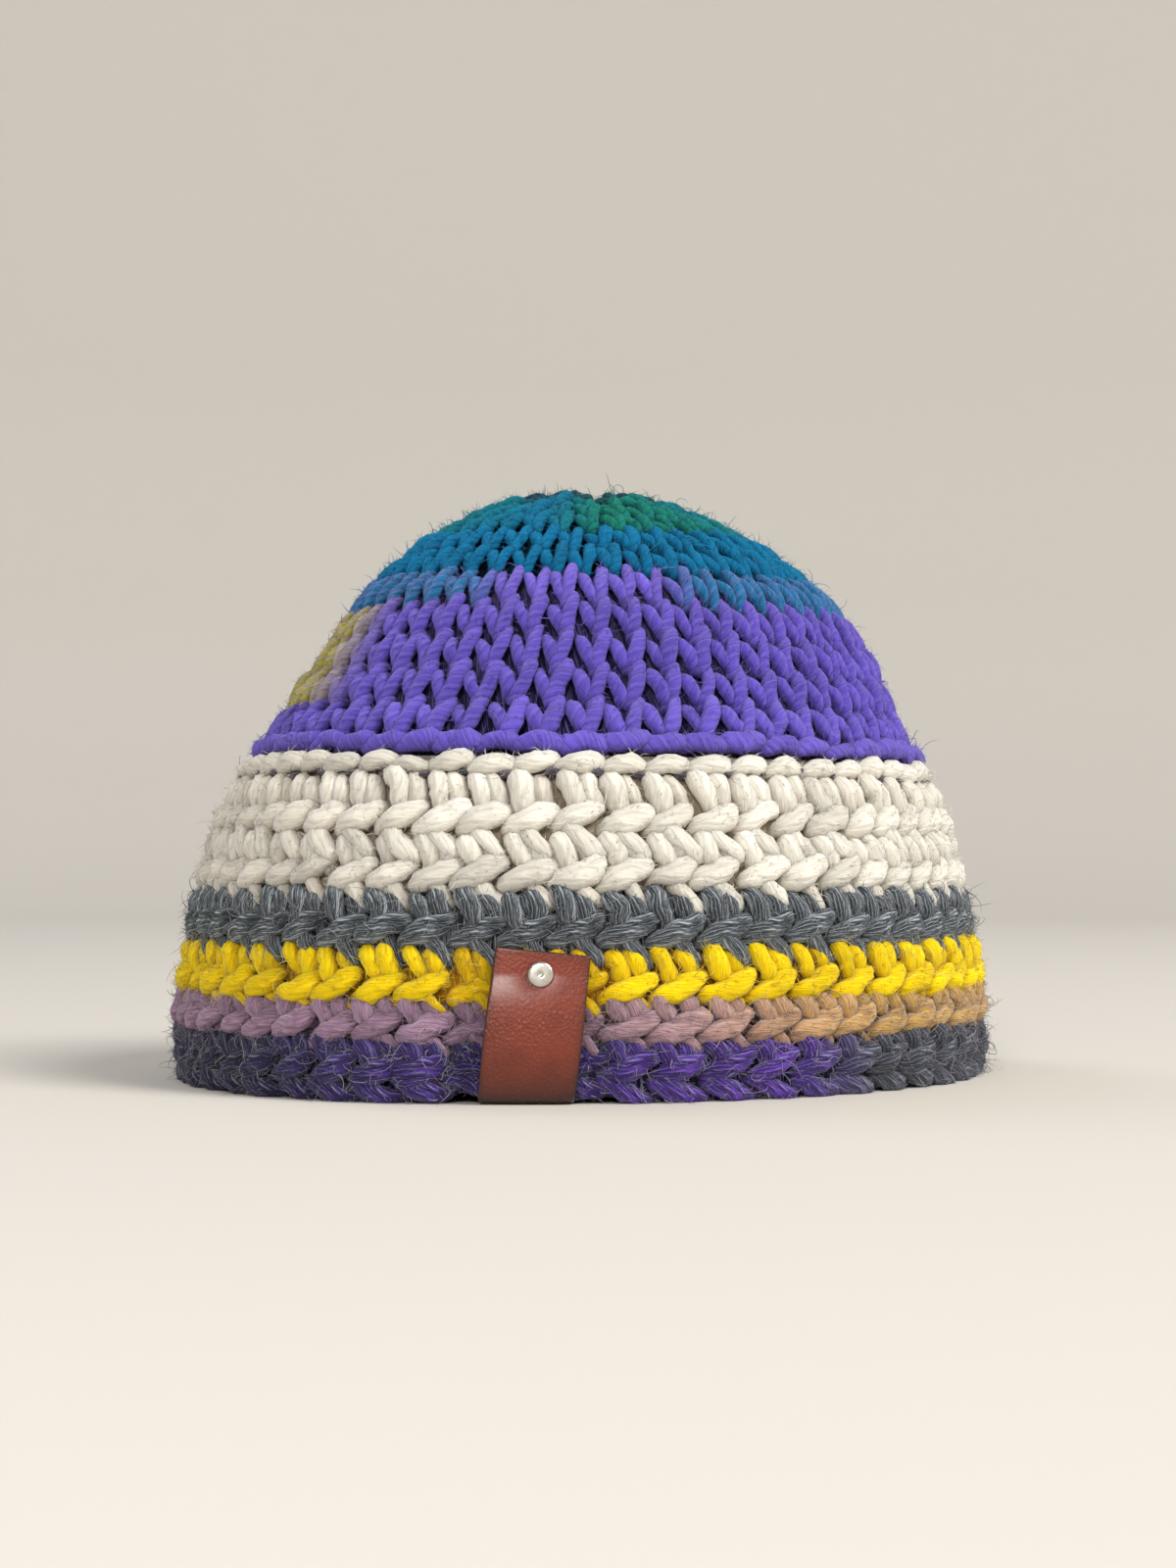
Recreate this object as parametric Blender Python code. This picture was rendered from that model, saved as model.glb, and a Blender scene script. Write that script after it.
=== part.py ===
"""A chunky hand-made wool beanie: ribbed stripes, a plain purple body, a gathered crown and a leather tag.

The hat stands on its rim, with the origin at the rim's centre. Its front faces -Y and its left side +X.
"""

import math

import bmesh
import bpy
from mathutils import Matrix, Vector

# The hollow that takes the head, in metres
HEAD_LENGTH = 0.193
HEAD_WIDTH = 0.156
HEAD_DEPTH = 0.1415

# The fabric, a heavy yarn worked in rounds
WALL = 0.0072
RIB_HEIGHT = 0.0026
RIB_FULLNESS = 0.75
RIM_ROUND = 0.0015
STRIPE_GAP = 0.0003

# The crown, drawn together at its centre
GATHER_HEIGHT = 0.0012
GATHER_COUNT = 7
GATHER_SHARE = 0.91
GATHER_FULL = 0.02
GATHER_GONE = 0.08
DIMPLE_DEPTH = 0.0045
DIMPLE_FULL = 0.01
DIMPLE_GONE = 0.055

# The leather tag, folded round the rim and held by one rivet
TAG_TURN = math.radians(63.5)
TAG_TILT = math.radians(6)
TAG_WIDTH = 0.020
TAG_LENGTH = 0.033
LEATHER = 0.0018
TAG_GAP = 0.0003
FOLD_RADIUS = 0.0012
FABRIC_EASE = 0.009
RIVET_FROM_TOP = 0.0050
RIVET_HEAD_RADIUS = 0.0029
RIVET_HEAD_HEIGHT = 0.0012
RIVET_POST_RADIUS = 0.0014
RIVET_GAP = 0.0003

SEGMENTS = 60
RIVET_SIDES = 24

# The inside of the hat from rim to crown, as shares of its depth, its half length and its whole length
MERIDIAN = (
    # height, girth, lean to the back
    (0.000, 0.995, 0.000),
    (0.100, 1.000, 0.000),
    (0.200, 0.988, 0.000),
    (0.304, 0.960, 0.000),
    (0.421, 0.912, 0.000),
    (0.524, 0.852, 0.003),
    (0.602, 0.787, 0.008),
    (0.734, 0.678, 0.018),
    (0.833, 0.572, 0.015),
    (0.918, 0.412, 0.006),
    (0.966, 0.253, 0.000),
    (0.990, 0.130, 0.000),
    (1.000, 0.000, 0.000),
)

# Rounds of the fabric from the rim up; each ends at a share of the way to the crown's centre
ROUNDS = (
    # stripe, end, ribs, rib height as a share, outer steps, inner steps
    ("rim_stripe", 0.074, 2, 0.85, 8, 1),
    ("mauve_stripe", 0.127, 1, 0.95, 4, 1),
    ("yellow_stripe", 0.184, 1, 1.00, 4, 1),
    ("grey_stripe", 0.266, 1, 1.00, 4, 1),
    ("cream_stripe", 0.440, 3, 1.00, 12, 3),
    ("purple_body", 0.468, 1, 0.45, 4, 1),
    ("purple_body", 0.705, 0, 0.00, 5, 4),
    ("teal_crown", 1.000, 0, 0.00, 9, 6),
)

# The rivet's outer cap from its middle to its edge; the inner cap is the same without the dot at its middle
CAP_PROFILE = (
    # radius as a share, height as a share
    (0.00, 0.85),
    (0.16, 0.92),
    (0.30, 1.00),
    (0.80, 0.95),
    (1.00, 0.55),
    (1.00, 0.00),
)
PLAIN_CAP_ROWS = slice(3, None)

# How finely curved shapes are divided
CURVE_STEPS = 12
NORMAL_STEP = 0.004
SMOOTH_ANGLE = math.radians(50)
CROWN_POLE_SHARE = 0.985
TAG_FLAP_STEPS = 8
TAG_BEND_STEPS = 4
TAG_WIDTH_STEPS = 4

# Yarn and leather colours as sRGB, with roughness and metallic
FINISHES = {
    "rim_stripe": ("#4E3A78", 0.95, 0.0),
    "mauve_stripe": ("#A98AA2", 0.95, 0.0),
    "yellow_stripe": ("#EFD10A", 0.95, 0.0),
    "grey_stripe": ("#565C63", 0.95, 0.0),
    "cream_stripe": ("#EDE5D4", 0.95, 0.0),
    "purple_body": ("#5A46A6", 0.95, 0.0),
    "teal_crown": ("#12708F", 0.95, 0.0),
    "leather_tag": ("#8A4028", 0.45, 0.0),
    "rivet": ("#C9C8C2", 0.30, 1.0),
}


def linear_colour(hex_code):
    """An sRGB hex colour as the linear RGBA that a shader takes."""
    parts = [int(hex_code[i : i + 2], 16) / 255 for i in (1, 3, 5)]
    return [c / 12.92 if c <= 0.04045 else ((c + 0.055) / 1.055) ** 2.4 for c in parts] + [1.0]


def finish(name):
    """The Principled material of one sub-part."""
    hex_code, roughness, metallic = FINISHES[name]
    material = bpy.data.materials.new(name)
    material.use_nodes = True
    shader = material.node_tree.nodes["Principled BSDF"]
    shader.inputs["Base Color"].default_value = linear_colour(hex_code)
    shader.inputs["Roughness"].default_value = roughness
    shader.inputs["Metallic"].default_value = metallic
    return material


def spline_value(before, start, end, after, t):
    """A Catmull-Rom curve's value a share t of the way from start to end."""
    return 0.5 * (
        2 * start
        + (end - before) * t
        + (2 * before - 5 * start + 4 * end - after) * t * t
        + (3 * start - before - 3 * end + after) * t**3
    )


def measured_meridian():
    """The meridian as a fine list of (length so far, height, girth, lean), in metres and shares."""
    rows = [MERIDIAN[0], *MERIDIAN, MERIDIAN[-1]]
    mean_radius = (HEAD_LENGTH + HEAD_WIDTH) / 4
    points = []
    length = 0.0
    for i in range(1, len(rows) - 2):
        last_span = i == len(rows) - 3
        for step in range(CURVE_STEPS + (1 if last_span else 0)):
            t = step / CURVE_STEPS
            height, girth, lean = (
                spline_value(*(row[column] for row in rows[i - 1 : i + 3]), t) for column in range(3)
            )
            if points:
                _, last_height, last_girth, _ = points[-1]
                length += math.hypot(
                    (height - last_height) * HEAD_DEPTH, (girth - last_girth) * mean_radius
                )
            points.append((length, height, girth, lean))
    return points


MERIDIAN_POINTS = measured_meridian()
FABRIC_LENGTH = MERIDIAN_POINTS[-1][0]


def meridian_at(share):
    """Height, girth and lean a share of the way from the rim to the crown's centre."""
    wanted = max(0.0, min(1.0, share)) * FABRIC_LENGTH
    for before, after in zip(MERIDIAN_POINTS, MERIDIAN_POINTS[1:]):
        if wanted <= after[0]:
            t = (wanted - before[0]) / (after[0] - before[0])
            return [a + (b - a) * t for a, b in zip(before[1:], after[1:])]
    return MERIDIAN_POINTS[-1][1:]


def inside_point(turn, share):
    """A point on the hat's inside, turned from the front towards the left side."""
    height, girth, lean = meridian_at(share)
    return Vector(
        (
            HEAD_WIDTH / 2 * girth * math.sin(turn),
            -HEAD_LENGTH / 2 * girth * math.cos(turn) + HEAD_LENGTH * lean,
            HEAD_DEPTH * height,
        )
    )


def outward(turn, share):
    """The direction out of the fabric there."""
    if share > CROWN_POLE_SHARE:
        return Vector((0, 0, 1))
    along = inside_point(turn, share + NORMAL_STEP) - inside_point(turn, max(0.0, share - NORMAL_STEP))
    around = Vector((HEAD_WIDTH * math.cos(turn), HEAD_LENGTH * math.sin(turn), 0))
    return around.cross(along).normalized()


def eased(distance, full, gone):
    """1 up to the distance full, 0 from the distance gone on, and straight between them."""
    return max(0.0, min(1.0, (gone - distance) / (gone - full)))


def turn_length(turn):
    """Metres round the rim for one radian of turn."""
    return math.hypot(HEAD_WIDTH / 2 * math.cos(turn), HEAD_LENGTH / 2 * math.sin(turn))


# The tag's middle leans to one side as it rises, so the flat place under it is wider than the tag
TAG_REACH = TAG_WIDTH / 2 / math.cos(TAG_TILT) + TAG_LENGTH * math.sin(TAG_TILT) + 2 * TAG_GAP
TAG_TOP = TAG_LENGTH * math.cos(TAG_TILT) + TAG_WIDTH / 2 * math.sin(TAG_TILT) + 2 * TAG_GAP
TAG_LIFT = LEATHER + 2 * TAG_GAP
LIFT_FADE = 5 * TAG_LIFT


def tag_press(turn, share):
    """How far the tag presses the ribs flat: 1 under it, 0 clear of it."""
    away = abs(turn - TAG_TURN) * turn_length(TAG_TURN)
    above = share * FABRIC_LENGTH
    return eased(away, TAG_REACH, TAG_REACH + FABRIC_EASE) * eased(above, TAG_TOP, TAG_TOP + FABRIC_EASE)


def rib_height(share):
    """How far the course at that share stands out of the plain wall."""
    start = 0.0
    for _, end, ribs, part, _, _ in ROUNDS:
        if share <= end:
            t = (share - start) / (end - start)
            return RIB_HEIGHT * part * abs(math.sin(math.pi * ribs * t)) ** RIB_FULLNESS
        start = end
    return 0.0


def crown_relief(turn, share):
    """The gathers round the crown's centre and the dimple where the yarn is drawn tight."""
    nearness = eased(abs(share - GATHER_SHARE), GATHER_FULL, GATHER_GONE)
    dimple = DIMPLE_DEPTH * eased(1 - share, DIMPLE_FULL, DIMPLE_GONE)
    return GATHER_HEIGHT * math.cos(GATHER_COUNT * turn) * nearness - dimple


def fabric_point(turn, share, offset):
    """A point in the fabric, offset out of the hat's inside, with the rim lifted by the tag's fold."""
    point = inside_point(turn, share) + outward(turn, share) * offset
    away = abs(turn - TAG_TURN) * turn_length(TAG_TURN)
    lift = TAG_LIFT * eased(away, TAG_REACH, TAG_REACH + FABRIC_EASE)
    point.z = max(0.0, point.z) + lift * eased(share * FABRIC_LENGTH, 0.0, LIFT_FADE)
    return point


def outer_point(turn, share):
    """A point on the hat's outside, ribs and gathers included."""
    offset = WALL + rib_height(share) * (1 - tag_press(turn, share)) + crown_relief(turn, share)
    if share == 0.0:
        offset = WALL - RIM_ROUND
    return fabric_point(turn, share, offset)


def turns_round():
    """The turns at which each round has a vertex: even steps, and the edges of the place under the tag."""
    radian = turn_length(TAG_TURN)
    reach = (TAG_REACH + FABRIC_EASE) / radian
    flat = TAG_REACH / radian
    even = [2 * math.pi * i / SEGMENTS for i in range(SEGMENTS)]
    spare = math.pi / SEGMENTS
    kept = [turn for turn in even if abs(turn - TAG_TURN) > reach + spare]
    near = [TAG_TURN + part for part in (-reach, -flat, -flat / 2, 0.0, flat / 2, flat, reach)]
    return sorted(kept + near)


def place_object(name, mesh_data):
    """A new object with its material, linked to the scene and standing under the hat's empty."""
    placed = bpy.data.objects.new(name, mesh_data)
    bpy.context.scene.collection.objects.link(placed)
    placed.parent = hat
    mesh_data.materials.append(finish(name))
    return placed


def bridge(shape, lower, upper):
    """Quads between two rings of vertices."""
    count = len(lower)
    for j in range(count):
        k = (j + 1) % count
        shape.faces.new((lower[j], lower[k], upper[k], upper[j]))


def close_over(shape, ring, centre):
    """A fan of triangles from a ring of vertices to one point."""
    pole = shape.verts.new(centre)
    for j, vertex in enumerate(ring):
        shape.faces.new((vertex, ring[(j + 1) % len(ring)], pole))


def finished_mesh(name, shape):
    """The bmesh as smooth-shaded mesh data, its faces pointing out."""
    bmesh.ops.recalc_face_normals(shape, faces=shape.faces)
    mesh_data = bpy.data.meshes.new(name)
    shape.to_mesh(mesh_data)
    shape.free()
    mesh_data.shade_smooth()
    mesh_data.set_sharp_from_angle(angle=SMOOTH_ANGLE)
    return mesh_data


def stripe_solid(name, outside, inside, poles=None):
    """One colour of the fabric, from rings of points: outside going up, inside coming down.

    It has a joint to its neighbour at both ends, or with poles (outside, inside) it closes over the crown.
    """
    shape = bmesh.new()
    up = [[shape.verts.new(point) for point in ring] for ring in outside]
    down = [[shape.verts.new(point) for point in ring] for ring in inside]
    for rings in (up, down):
        for lower, upper in zip(rings, rings[1:]):
            bridge(shape, lower, upper)
    bridge(shape, down[-1], up[0])
    if poles:
        close_over(shape, up[-1], poles[0])
        close_over(shape, down[0], poles[1])
    else:
        bridge(shape, up[-1], down[0])
    return place_object(name, finished_mesh(name, shape))


def stripe_shares():
    """Each stripe's outer and inner sample shares, from ROUNDS, with half the gap at each joint."""
    half_gap = STRIPE_GAP / 2 / FABRIC_LENGTH
    stripes = {}
    start = 0.0
    for name, end, _, _, outer_steps, inner_steps in ROUNDS:
        low = start + (half_gap if start else 0.0)
        high = end - (half_gap if end < 1.0 else 0.0)
        outer, inner = stripes.setdefault(name, ([], []))
        for shares, steps in ((outer, outer_steps), (inner, inner_steps)):
            first = 1 if shares else 0
            shares += [low + (high - low) * i / steps for i in range(first, steps + 1)]
        start = end
    return stripes


def knitted_fabric():
    """Every stripe of the hat, each in its own yarn."""
    turns = turns_round()
    stripes = {}
    for name, (outer, inner) in stripe_shares().items():
        closes = outer[-1] == 1.0
        outside = [[outer_point(turn, share) for turn in turns] for share in outer if share < 1.0]
        falling = [share for share in reversed(inner) if share < 1.0]
        inside = [[fabric_point(turn, share, 0.0) for turn in turns] for share in falling]
        if outer[0] == 0.0:
            low = RIM_ROUND / FABRIC_LENGTH
            inside[-1] = [fabric_point(turn, low, 0.0) for turn in turns]
            inside.append([fabric_point(turn, 0.0, RIM_ROUND) for turn in turns])
            outside.insert(1, [fabric_point(turn, low, WALL) for turn in turns])
        poles = (outer_point(0.0, 1.0), fabric_point(0.0, 1.0, 0.0)) if closes else None
        stripes[name] = stripe_solid(name, outside, inside, poles)
    return stripes


def tag_point(across, up, offset):
    """A point on the tag: metres across and up from the middle of its fold, offset out of the hat."""
    turn = TAG_TURN + across / turn_length(TAG_TURN)
    share = max(0.0, up) / FABRIC_LENGTH
    point = inside_point(turn, share) + outward(turn, share) * offset
    point.z = max(point.z, up) if share else up
    return point


def tag_section(across_fold):
    """The strip's two faces as matching lists of points, up the inside, round the rim and up the outside.

    The strap crosses its fold at a slant, so a line along it leans one way outside and the other inside.
    """
    middle_inside = -TAG_GAP - LEATHER / 2
    middle_outside = WALL + TAG_GAP + LEATHER / 2
    fold_floor = TAG_GAP + LEATHER / 2
    bend = FOLD_RADIUS + LEATHER / 2
    along = TAG_LENGTH - across_fold * math.sin(TAG_TILT)
    near, far = [], []

    def add(up, middle, normal, lean):
        for points, side in ((near, -1), (far, 1)):
            half = side * LEATHER / 2
            across = across_fold + lean * max(0.0, up - fold_floor) * math.tan(TAG_TILT)
            points.append(tag_point(across, up + normal[1] * half, middle + normal[0] * half))

    straight = fold_floor + bend
    top = along * math.cos(TAG_TILT)
    flap = [straight + (top - straight) * i / TAG_FLAP_STEPS for i in range(TAG_FLAP_STEPS + 1)]
    for up in reversed(flap):
        add(up, middle_inside, (-1, 0), -1)
    for centre, first in ((middle_inside + bend, 180), (middle_outside - bend, 270)):
        for i in range(TAG_BEND_STEPS + 1):
            angle = math.radians(first + 90 * i / TAG_BEND_STEPS)
            normal = (math.cos(angle), math.sin(angle))
            if first + 90 * i / TAG_BEND_STEPS in (180, 360):
                continue
            add(straight + bend * normal[1], centre + bend * normal[0], normal, 0)
    for up in flap:
        add(up, middle_outside, (1, 0), 1)
    return near, far


def leather_tag():
    """The strap as one folded strip with a rectangular section."""
    shape = bmesh.new()
    half = TAG_WIDTH / 2 / math.cos(TAG_TILT)
    columns = []
    for i in range(TAG_WIDTH_STEPS + 1):
        near, far = tag_section(half * (2 * i / TAG_WIDTH_STEPS - 1))
        columns.append(([shape.verts.new(p) for p in near], [shape.verts.new(p) for p in far]))
    last = len(columns[0][0]) - 1
    for (near_a, far_a), (near_b, far_b) in zip(columns, columns[1:]):
        for j in range(last):
            shape.faces.new((near_a[j], near_b[j], near_b[j + 1], near_a[j + 1]))
            shape.faces.new((far_a[j], far_b[j], far_b[j + 1], far_a[j + 1]))
        for j in (0, last):
            shape.faces.new((near_a[j], near_b[j], far_b[j], far_a[j]))
    for near, far in (columns[0], columns[-1]):
        for j in range(last):
            shape.faces.new((near[j], near[j + 1], far[j + 1], far[j]))
    return place_object("leather_tag", finished_mesh("leather_tag", shape))


def rivet_frame():
    """The rivet's place: its origin on the hat's inside and its Z axis out of the fabric."""
    up = (TAG_LENGTH - RIVET_FROM_TOP) * math.cos(TAG_TILT)
    across = (TAG_LENGTH - RIVET_FROM_TOP) * math.sin(TAG_TILT)
    turn = TAG_TURN + across / turn_length(TAG_TURN)
    share = up / FABRIC_LENGTH
    axis = outward(turn, share)
    sideways = Vector((0, 0, 1)).cross(axis).normalized()
    matrix = Matrix((sideways, axis.cross(sideways), axis)).transposed().to_4x4()
    matrix.translation = inside_point(turn, share)
    return matrix


def turned_solid(name, profile):
    """A solid spun round its own Z axis from (radius, height) pairs, the first and last on the axis."""
    shape = bmesh.new()
    points = [shape.verts.new((radius, 0, height)) for radius, height in profile]
    edges = [shape.edges.new(pair) for pair in zip(points, points[1:])]
    bmesh.ops.spin(
        shape,
        geom=points + edges,
        axis=(0, 0, 1),
        cent=(0, 0, 0),
        steps=RIVET_SIDES,
        angle=2 * math.pi,
        use_merge=True,
    )
    bmesh.ops.remove_doubles(shape, verts=shape.verts, dist=1e-6)
    return finished_mesh(name, shape)


def rivet():
    """Two flat caps on one post, through the tag and the fabric."""
    seat_out = WALL + 2 * TAG_GAP + LEATHER
    seat_in = -2 * TAG_GAP - LEATHER
    cap, thick = RIVET_HEAD_RADIUS, RIVET_HEAD_HEIGHT
    outer = [(cap * radius, seat_out + thick * height) for radius, height in CAP_PROFILE]
    post = [(RIVET_POST_RADIUS, seat_out), (RIVET_POST_RADIUS, seat_in)]
    plain = reversed(CAP_PROFILE[PLAIN_CAP_ROWS])
    inner = [(cap * radius, seat_in - thick * height) for radius, height in plain]
    middle = (0, inner[-1][1])
    placed = place_object("rivet", turned_solid("rivet", [*outer, *post, *inner, middle]))
    placed.matrix_world = rivet_frame()
    return placed


def rivet_hole(cut_objects):
    """A hidden round cutter along the rivet's post, taken out of each object that the post goes through."""
    bpy.ops.mesh.primitive_cylinder_add(
        vertices=RIVET_SIDES, radius=RIVET_POST_RADIUS + RIVET_GAP, depth=4 * (WALL + LEATHER)
    )
    cutter = bpy.context.object
    cutter.name = "rivet_hole_cutter"
    cutter.matrix_world = rivet_frame()
    cutter.hide_render = True
    cutter.display_type = "WIRE"
    for cut in cut_objects:
        hole = cut.modifiers.new("rivet hole", "BOOLEAN")
        hole.object = cutter
        hole.operation = "DIFFERENCE"
        hole.solver = "EXACT"


for leftover in list(bpy.data.objects):
    bpy.data.objects.remove(leftover)

hat = bpy.data.objects.new("beanie", None)
bpy.context.scene.collection.objects.link(hat)

stripes = knitted_fabric()
tag = leather_tag()
rivet()
rivet_hole((stripes["yellow_stripe"], tag))
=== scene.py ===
# %% [markdown]
# # A chunky wool beanie
#
# A hand-made winter hat: ribbed stripes of thick wool round the head, a plain knitted body above them, a
# crown drawn together at its centre, and a strap of leather folded over the rim and riveted through. The
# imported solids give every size. Here each stripe gets its real strands of yarn, the tag its leather and
# the rivet its nickel, on the walls that the solids give.

# %% The frame
import math

import bpy
import numpy as np
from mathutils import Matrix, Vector


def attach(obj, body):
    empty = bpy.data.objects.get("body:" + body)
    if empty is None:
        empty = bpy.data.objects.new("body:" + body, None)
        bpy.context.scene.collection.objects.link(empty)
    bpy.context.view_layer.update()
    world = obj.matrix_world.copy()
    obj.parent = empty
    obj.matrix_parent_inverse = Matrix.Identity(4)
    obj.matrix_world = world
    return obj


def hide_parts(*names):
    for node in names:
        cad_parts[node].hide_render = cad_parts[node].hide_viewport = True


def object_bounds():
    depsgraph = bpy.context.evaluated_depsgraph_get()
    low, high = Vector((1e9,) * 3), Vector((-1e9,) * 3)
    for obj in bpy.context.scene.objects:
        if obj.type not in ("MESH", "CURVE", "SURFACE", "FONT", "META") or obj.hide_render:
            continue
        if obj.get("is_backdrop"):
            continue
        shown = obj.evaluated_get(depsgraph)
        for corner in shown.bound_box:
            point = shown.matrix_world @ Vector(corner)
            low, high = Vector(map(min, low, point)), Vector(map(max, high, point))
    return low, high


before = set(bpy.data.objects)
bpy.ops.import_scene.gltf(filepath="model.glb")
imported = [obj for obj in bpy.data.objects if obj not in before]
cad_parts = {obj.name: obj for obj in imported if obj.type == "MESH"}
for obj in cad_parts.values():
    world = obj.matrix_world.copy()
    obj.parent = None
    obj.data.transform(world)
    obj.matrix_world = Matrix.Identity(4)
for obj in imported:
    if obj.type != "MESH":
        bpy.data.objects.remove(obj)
cad_low, cad_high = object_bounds()
print("solids, mm:", [round((high - low) * 1000, 1) for low, high in zip(cad_low, cad_high)])

# %% [markdown]
# ## The sheet that everything is knitted on
#
# The hat's inside is an oval dome. One table gives its outline from rim to crown, as shares, and a smooth
# curve runs through the rows. A point of yarn is then three plain numbers: how far round, how far up the
# fabric, and how far out of the inside face. The same table shapes the solids, so the strands lie exactly
# where the walls are.

# %% The hat's own sizes, in metres
HEAD_LENGTH = 0.193
HEAD_WIDTH = 0.156
HEAD_DEPTH = 0.1415
WALL = 0.0072
RIB = 0.0026

TAG_TURN = math.radians(63.5)
TAG_TILT = math.radians(6)
TAG_WIDTH = 0.020
TAG_LENGTH = 0.033
LEATHER = 0.0018
TAG_GAP = 0.0003
FOLD_RADIUS = 0.0012
FABRIC_EASE = 0.009
RIVET_FROM_TOP = 0.0050
RIVET_HEAD_RADIUS = 0.0029
RIVET_HEAD_HEIGHT = 0.0012
print("the head it fits, mm:", [round(side * 1000, 1) for side in (HEAD_LENGTH, HEAD_WIDTH, HEAD_DEPTH)])

# %% The dome's outline
OUTLINE = (
    # height, girth, lean to the back
    (0.000, 0.995, 0.000),
    (0.100, 1.000, 0.000),
    (0.200, 0.988, 0.000),
    (0.304, 0.960, 0.000),
    (0.421, 0.912, 0.000),
    (0.524, 0.852, 0.003),
    (0.602, 0.787, 0.008),
    (0.734, 0.678, 0.018),
    (0.833, 0.572, 0.015),
    (0.918, 0.412, 0.006),
    (0.966, 0.253, 0.000),
    (0.990, 0.130, 0.000),
    (1.000, 0.000, 0.000),
)


def smooth_path(rows, steps):
    """A Catmull-Rom curve through the rows of a table, or of many tables at once, as that many rows."""
    rows = np.array(rows, dtype=float)
    padded = np.concatenate([rows[..., :1, :], rows, rows[..., -1:, :]], axis=-2)
    last = rows.shape[-2] - 1
    place = np.linspace(0, last, steps)
    row = np.minimum(place.astype(int), last - 1)
    t = (place - row)[:, None]
    before, start, end, after = (padded[..., row + i, :] for i in range(4))
    return 0.5 * (
        2 * start
        + (end - before) * t
        + (2 * before - 5 * start + 4 * end - after) * t**2
        + (3 * start - before - 3 * end + after) * t**3
    )


POINTS_PER_ROW = 12
# the yarn lies outside, where the way from rim to crown is longer
OUTSIDE_LONGER = 1.06
fine_outline = smooth_path(OUTLINE, POINTS_PER_ROW * (len(OUTLINE) - 1) + 1)
mean_radius = (HEAD_LENGTH + HEAD_WIDTH) / 4
rise = np.diff(fine_outline[:, 0]) * HEAD_DEPTH
inward = np.diff(fine_outline[:, 1]) * mean_radius
fabric_so_far = np.concatenate([[0.0], np.cumsum(np.hypot(rise, inward))])
FABRIC_LENGTH = fabric_so_far[-1]
OUTSIDE_LENGTH = FABRIC_LENGTH * OUTSIDE_LONGER
print("fabric from rim to crown, mm: inside", round(FABRIC_LENGTH * 1000, 1))


# %% From places in the fabric to points in space
def inside_point(turn, share):
    """Points on the hat's inside, at turns from the front to the left side and shares of the way up."""
    place = np.clip(share, 0, 1) * FABRIC_LENGTH
    height, girth, lean = (np.interp(place, fabric_so_far, fine_outline[:, column]) for column in range(3))
    return np.stack(
        [
            HEAD_WIDTH / 2 * girth * np.sin(turn),
            -HEAD_LENGTH / 2 * girth * np.cos(turn) + HEAD_LENGTH * lean,
            HEAD_DEPTH * height,
        ],
        axis=-1,
    )


def unit(vectors):
    """The same vectors, one metre long."""
    return vectors / np.maximum(np.linalg.norm(vectors, axis=-1, keepdims=True), 1e-12)


NORMAL_STEP = 0.004
POLE_SHARE = 0.985


def outward(turn, share):
    """The directions out of the fabric."""
    held = np.clip(share, 0.0, POLE_SHARE)
    along = inside_point(turn, held + NORMAL_STEP) - inside_point(turn, held - NORMAL_STEP)
    around = np.stack([HEAD_WIDTH * np.cos(turn), HEAD_LENGTH * np.sin(turn), np.zeros_like(turn)], axis=-1)
    leaning = unit(np.cross(around, along))
    upright = np.clip((share - POLE_SHARE) / (1 - POLE_SHARE), 0, 1)[..., None]
    return unit(leaning * (1 - upright) + np.array([0.0, 0.0, 1.0]) * upright)


def eased(distance, full, gone):
    """1 up to the distance full, 0 from the distance gone on, and straight between them."""
    return np.clip((gone - distance) / (gone - full), 0, 1)


def turn_length(turn):
    """Metres round the rim for one radian of turn."""
    return math.hypot(HEAD_WIDTH / 2 * math.cos(turn), HEAD_LENGTH / 2 * math.sin(turn))


# %% [markdown]
# The tag is clamped hard, so the wool under it is pressed flat, and its fold lifts the rim a little.
# Towards the crown the fabric gathers into seven soft folds and dips where the last loop is drawn tight.

# %% The press of the tag and the gathers of the crown
TAG_REACH = TAG_WIDTH / 2 / math.cos(TAG_TILT) + TAG_LENGTH * math.sin(TAG_TILT) + 2 * TAG_GAP
TAG_TOP = TAG_LENGTH * math.cos(TAG_TILT) + TAG_WIDTH / 2 * math.sin(TAG_TILT) + 2 * TAG_GAP
TAG_LIFT = LEATHER + 2 * TAG_GAP
LIFT_FADE = 5 * TAG_LIFT
TAG_MARGIN = 0.0008
GATHER_COUNT = 7
GATHER_HEIGHT = 0.0012
# shares of the way up: where the gathers are highest, and how far from there they are full and gone
GATHER_SHARE = 0.91
GATHER_FULL = 0.02
GATHER_GONE = 0.08
DIMPLE_DEPTH = 0.0045
DIMPLE_FULL = 0.01
DIMPLE_GONE = 0.055


def across_tag(turn):
    """Metres round the hat from the middle of the tag's fold, more to the right."""
    return ((turn - TAG_TURN + math.pi) % (2 * math.pi) - math.pi) * turn_length(TAG_TURN)


def from_tag(turn):
    """Metres round the hat from the tag's middle, either way."""
    return np.abs(across_tag(turn))


def under_tag(turn, share):
    """Whether a place is covered by the tag, which leans to the right."""
    above = share * FABRIC_LENGTH
    middle = above * math.tan(TAG_TILT)
    beside = np.abs(across_tag(turn) - middle)
    return (beside < TAG_WIDTH / 2 + TAG_MARGIN) & (above < TAG_TOP + TAG_MARGIN)


def pressed(turn, share):
    """1 under the tag, 0 clear of it."""
    beside = eased(from_tag(turn), TAG_REACH, TAG_REACH + FABRIC_EASE)
    return beside * eased(share * FABRIC_LENGTH, TAG_TOP, TAG_TOP + FABRIC_EASE)


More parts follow.
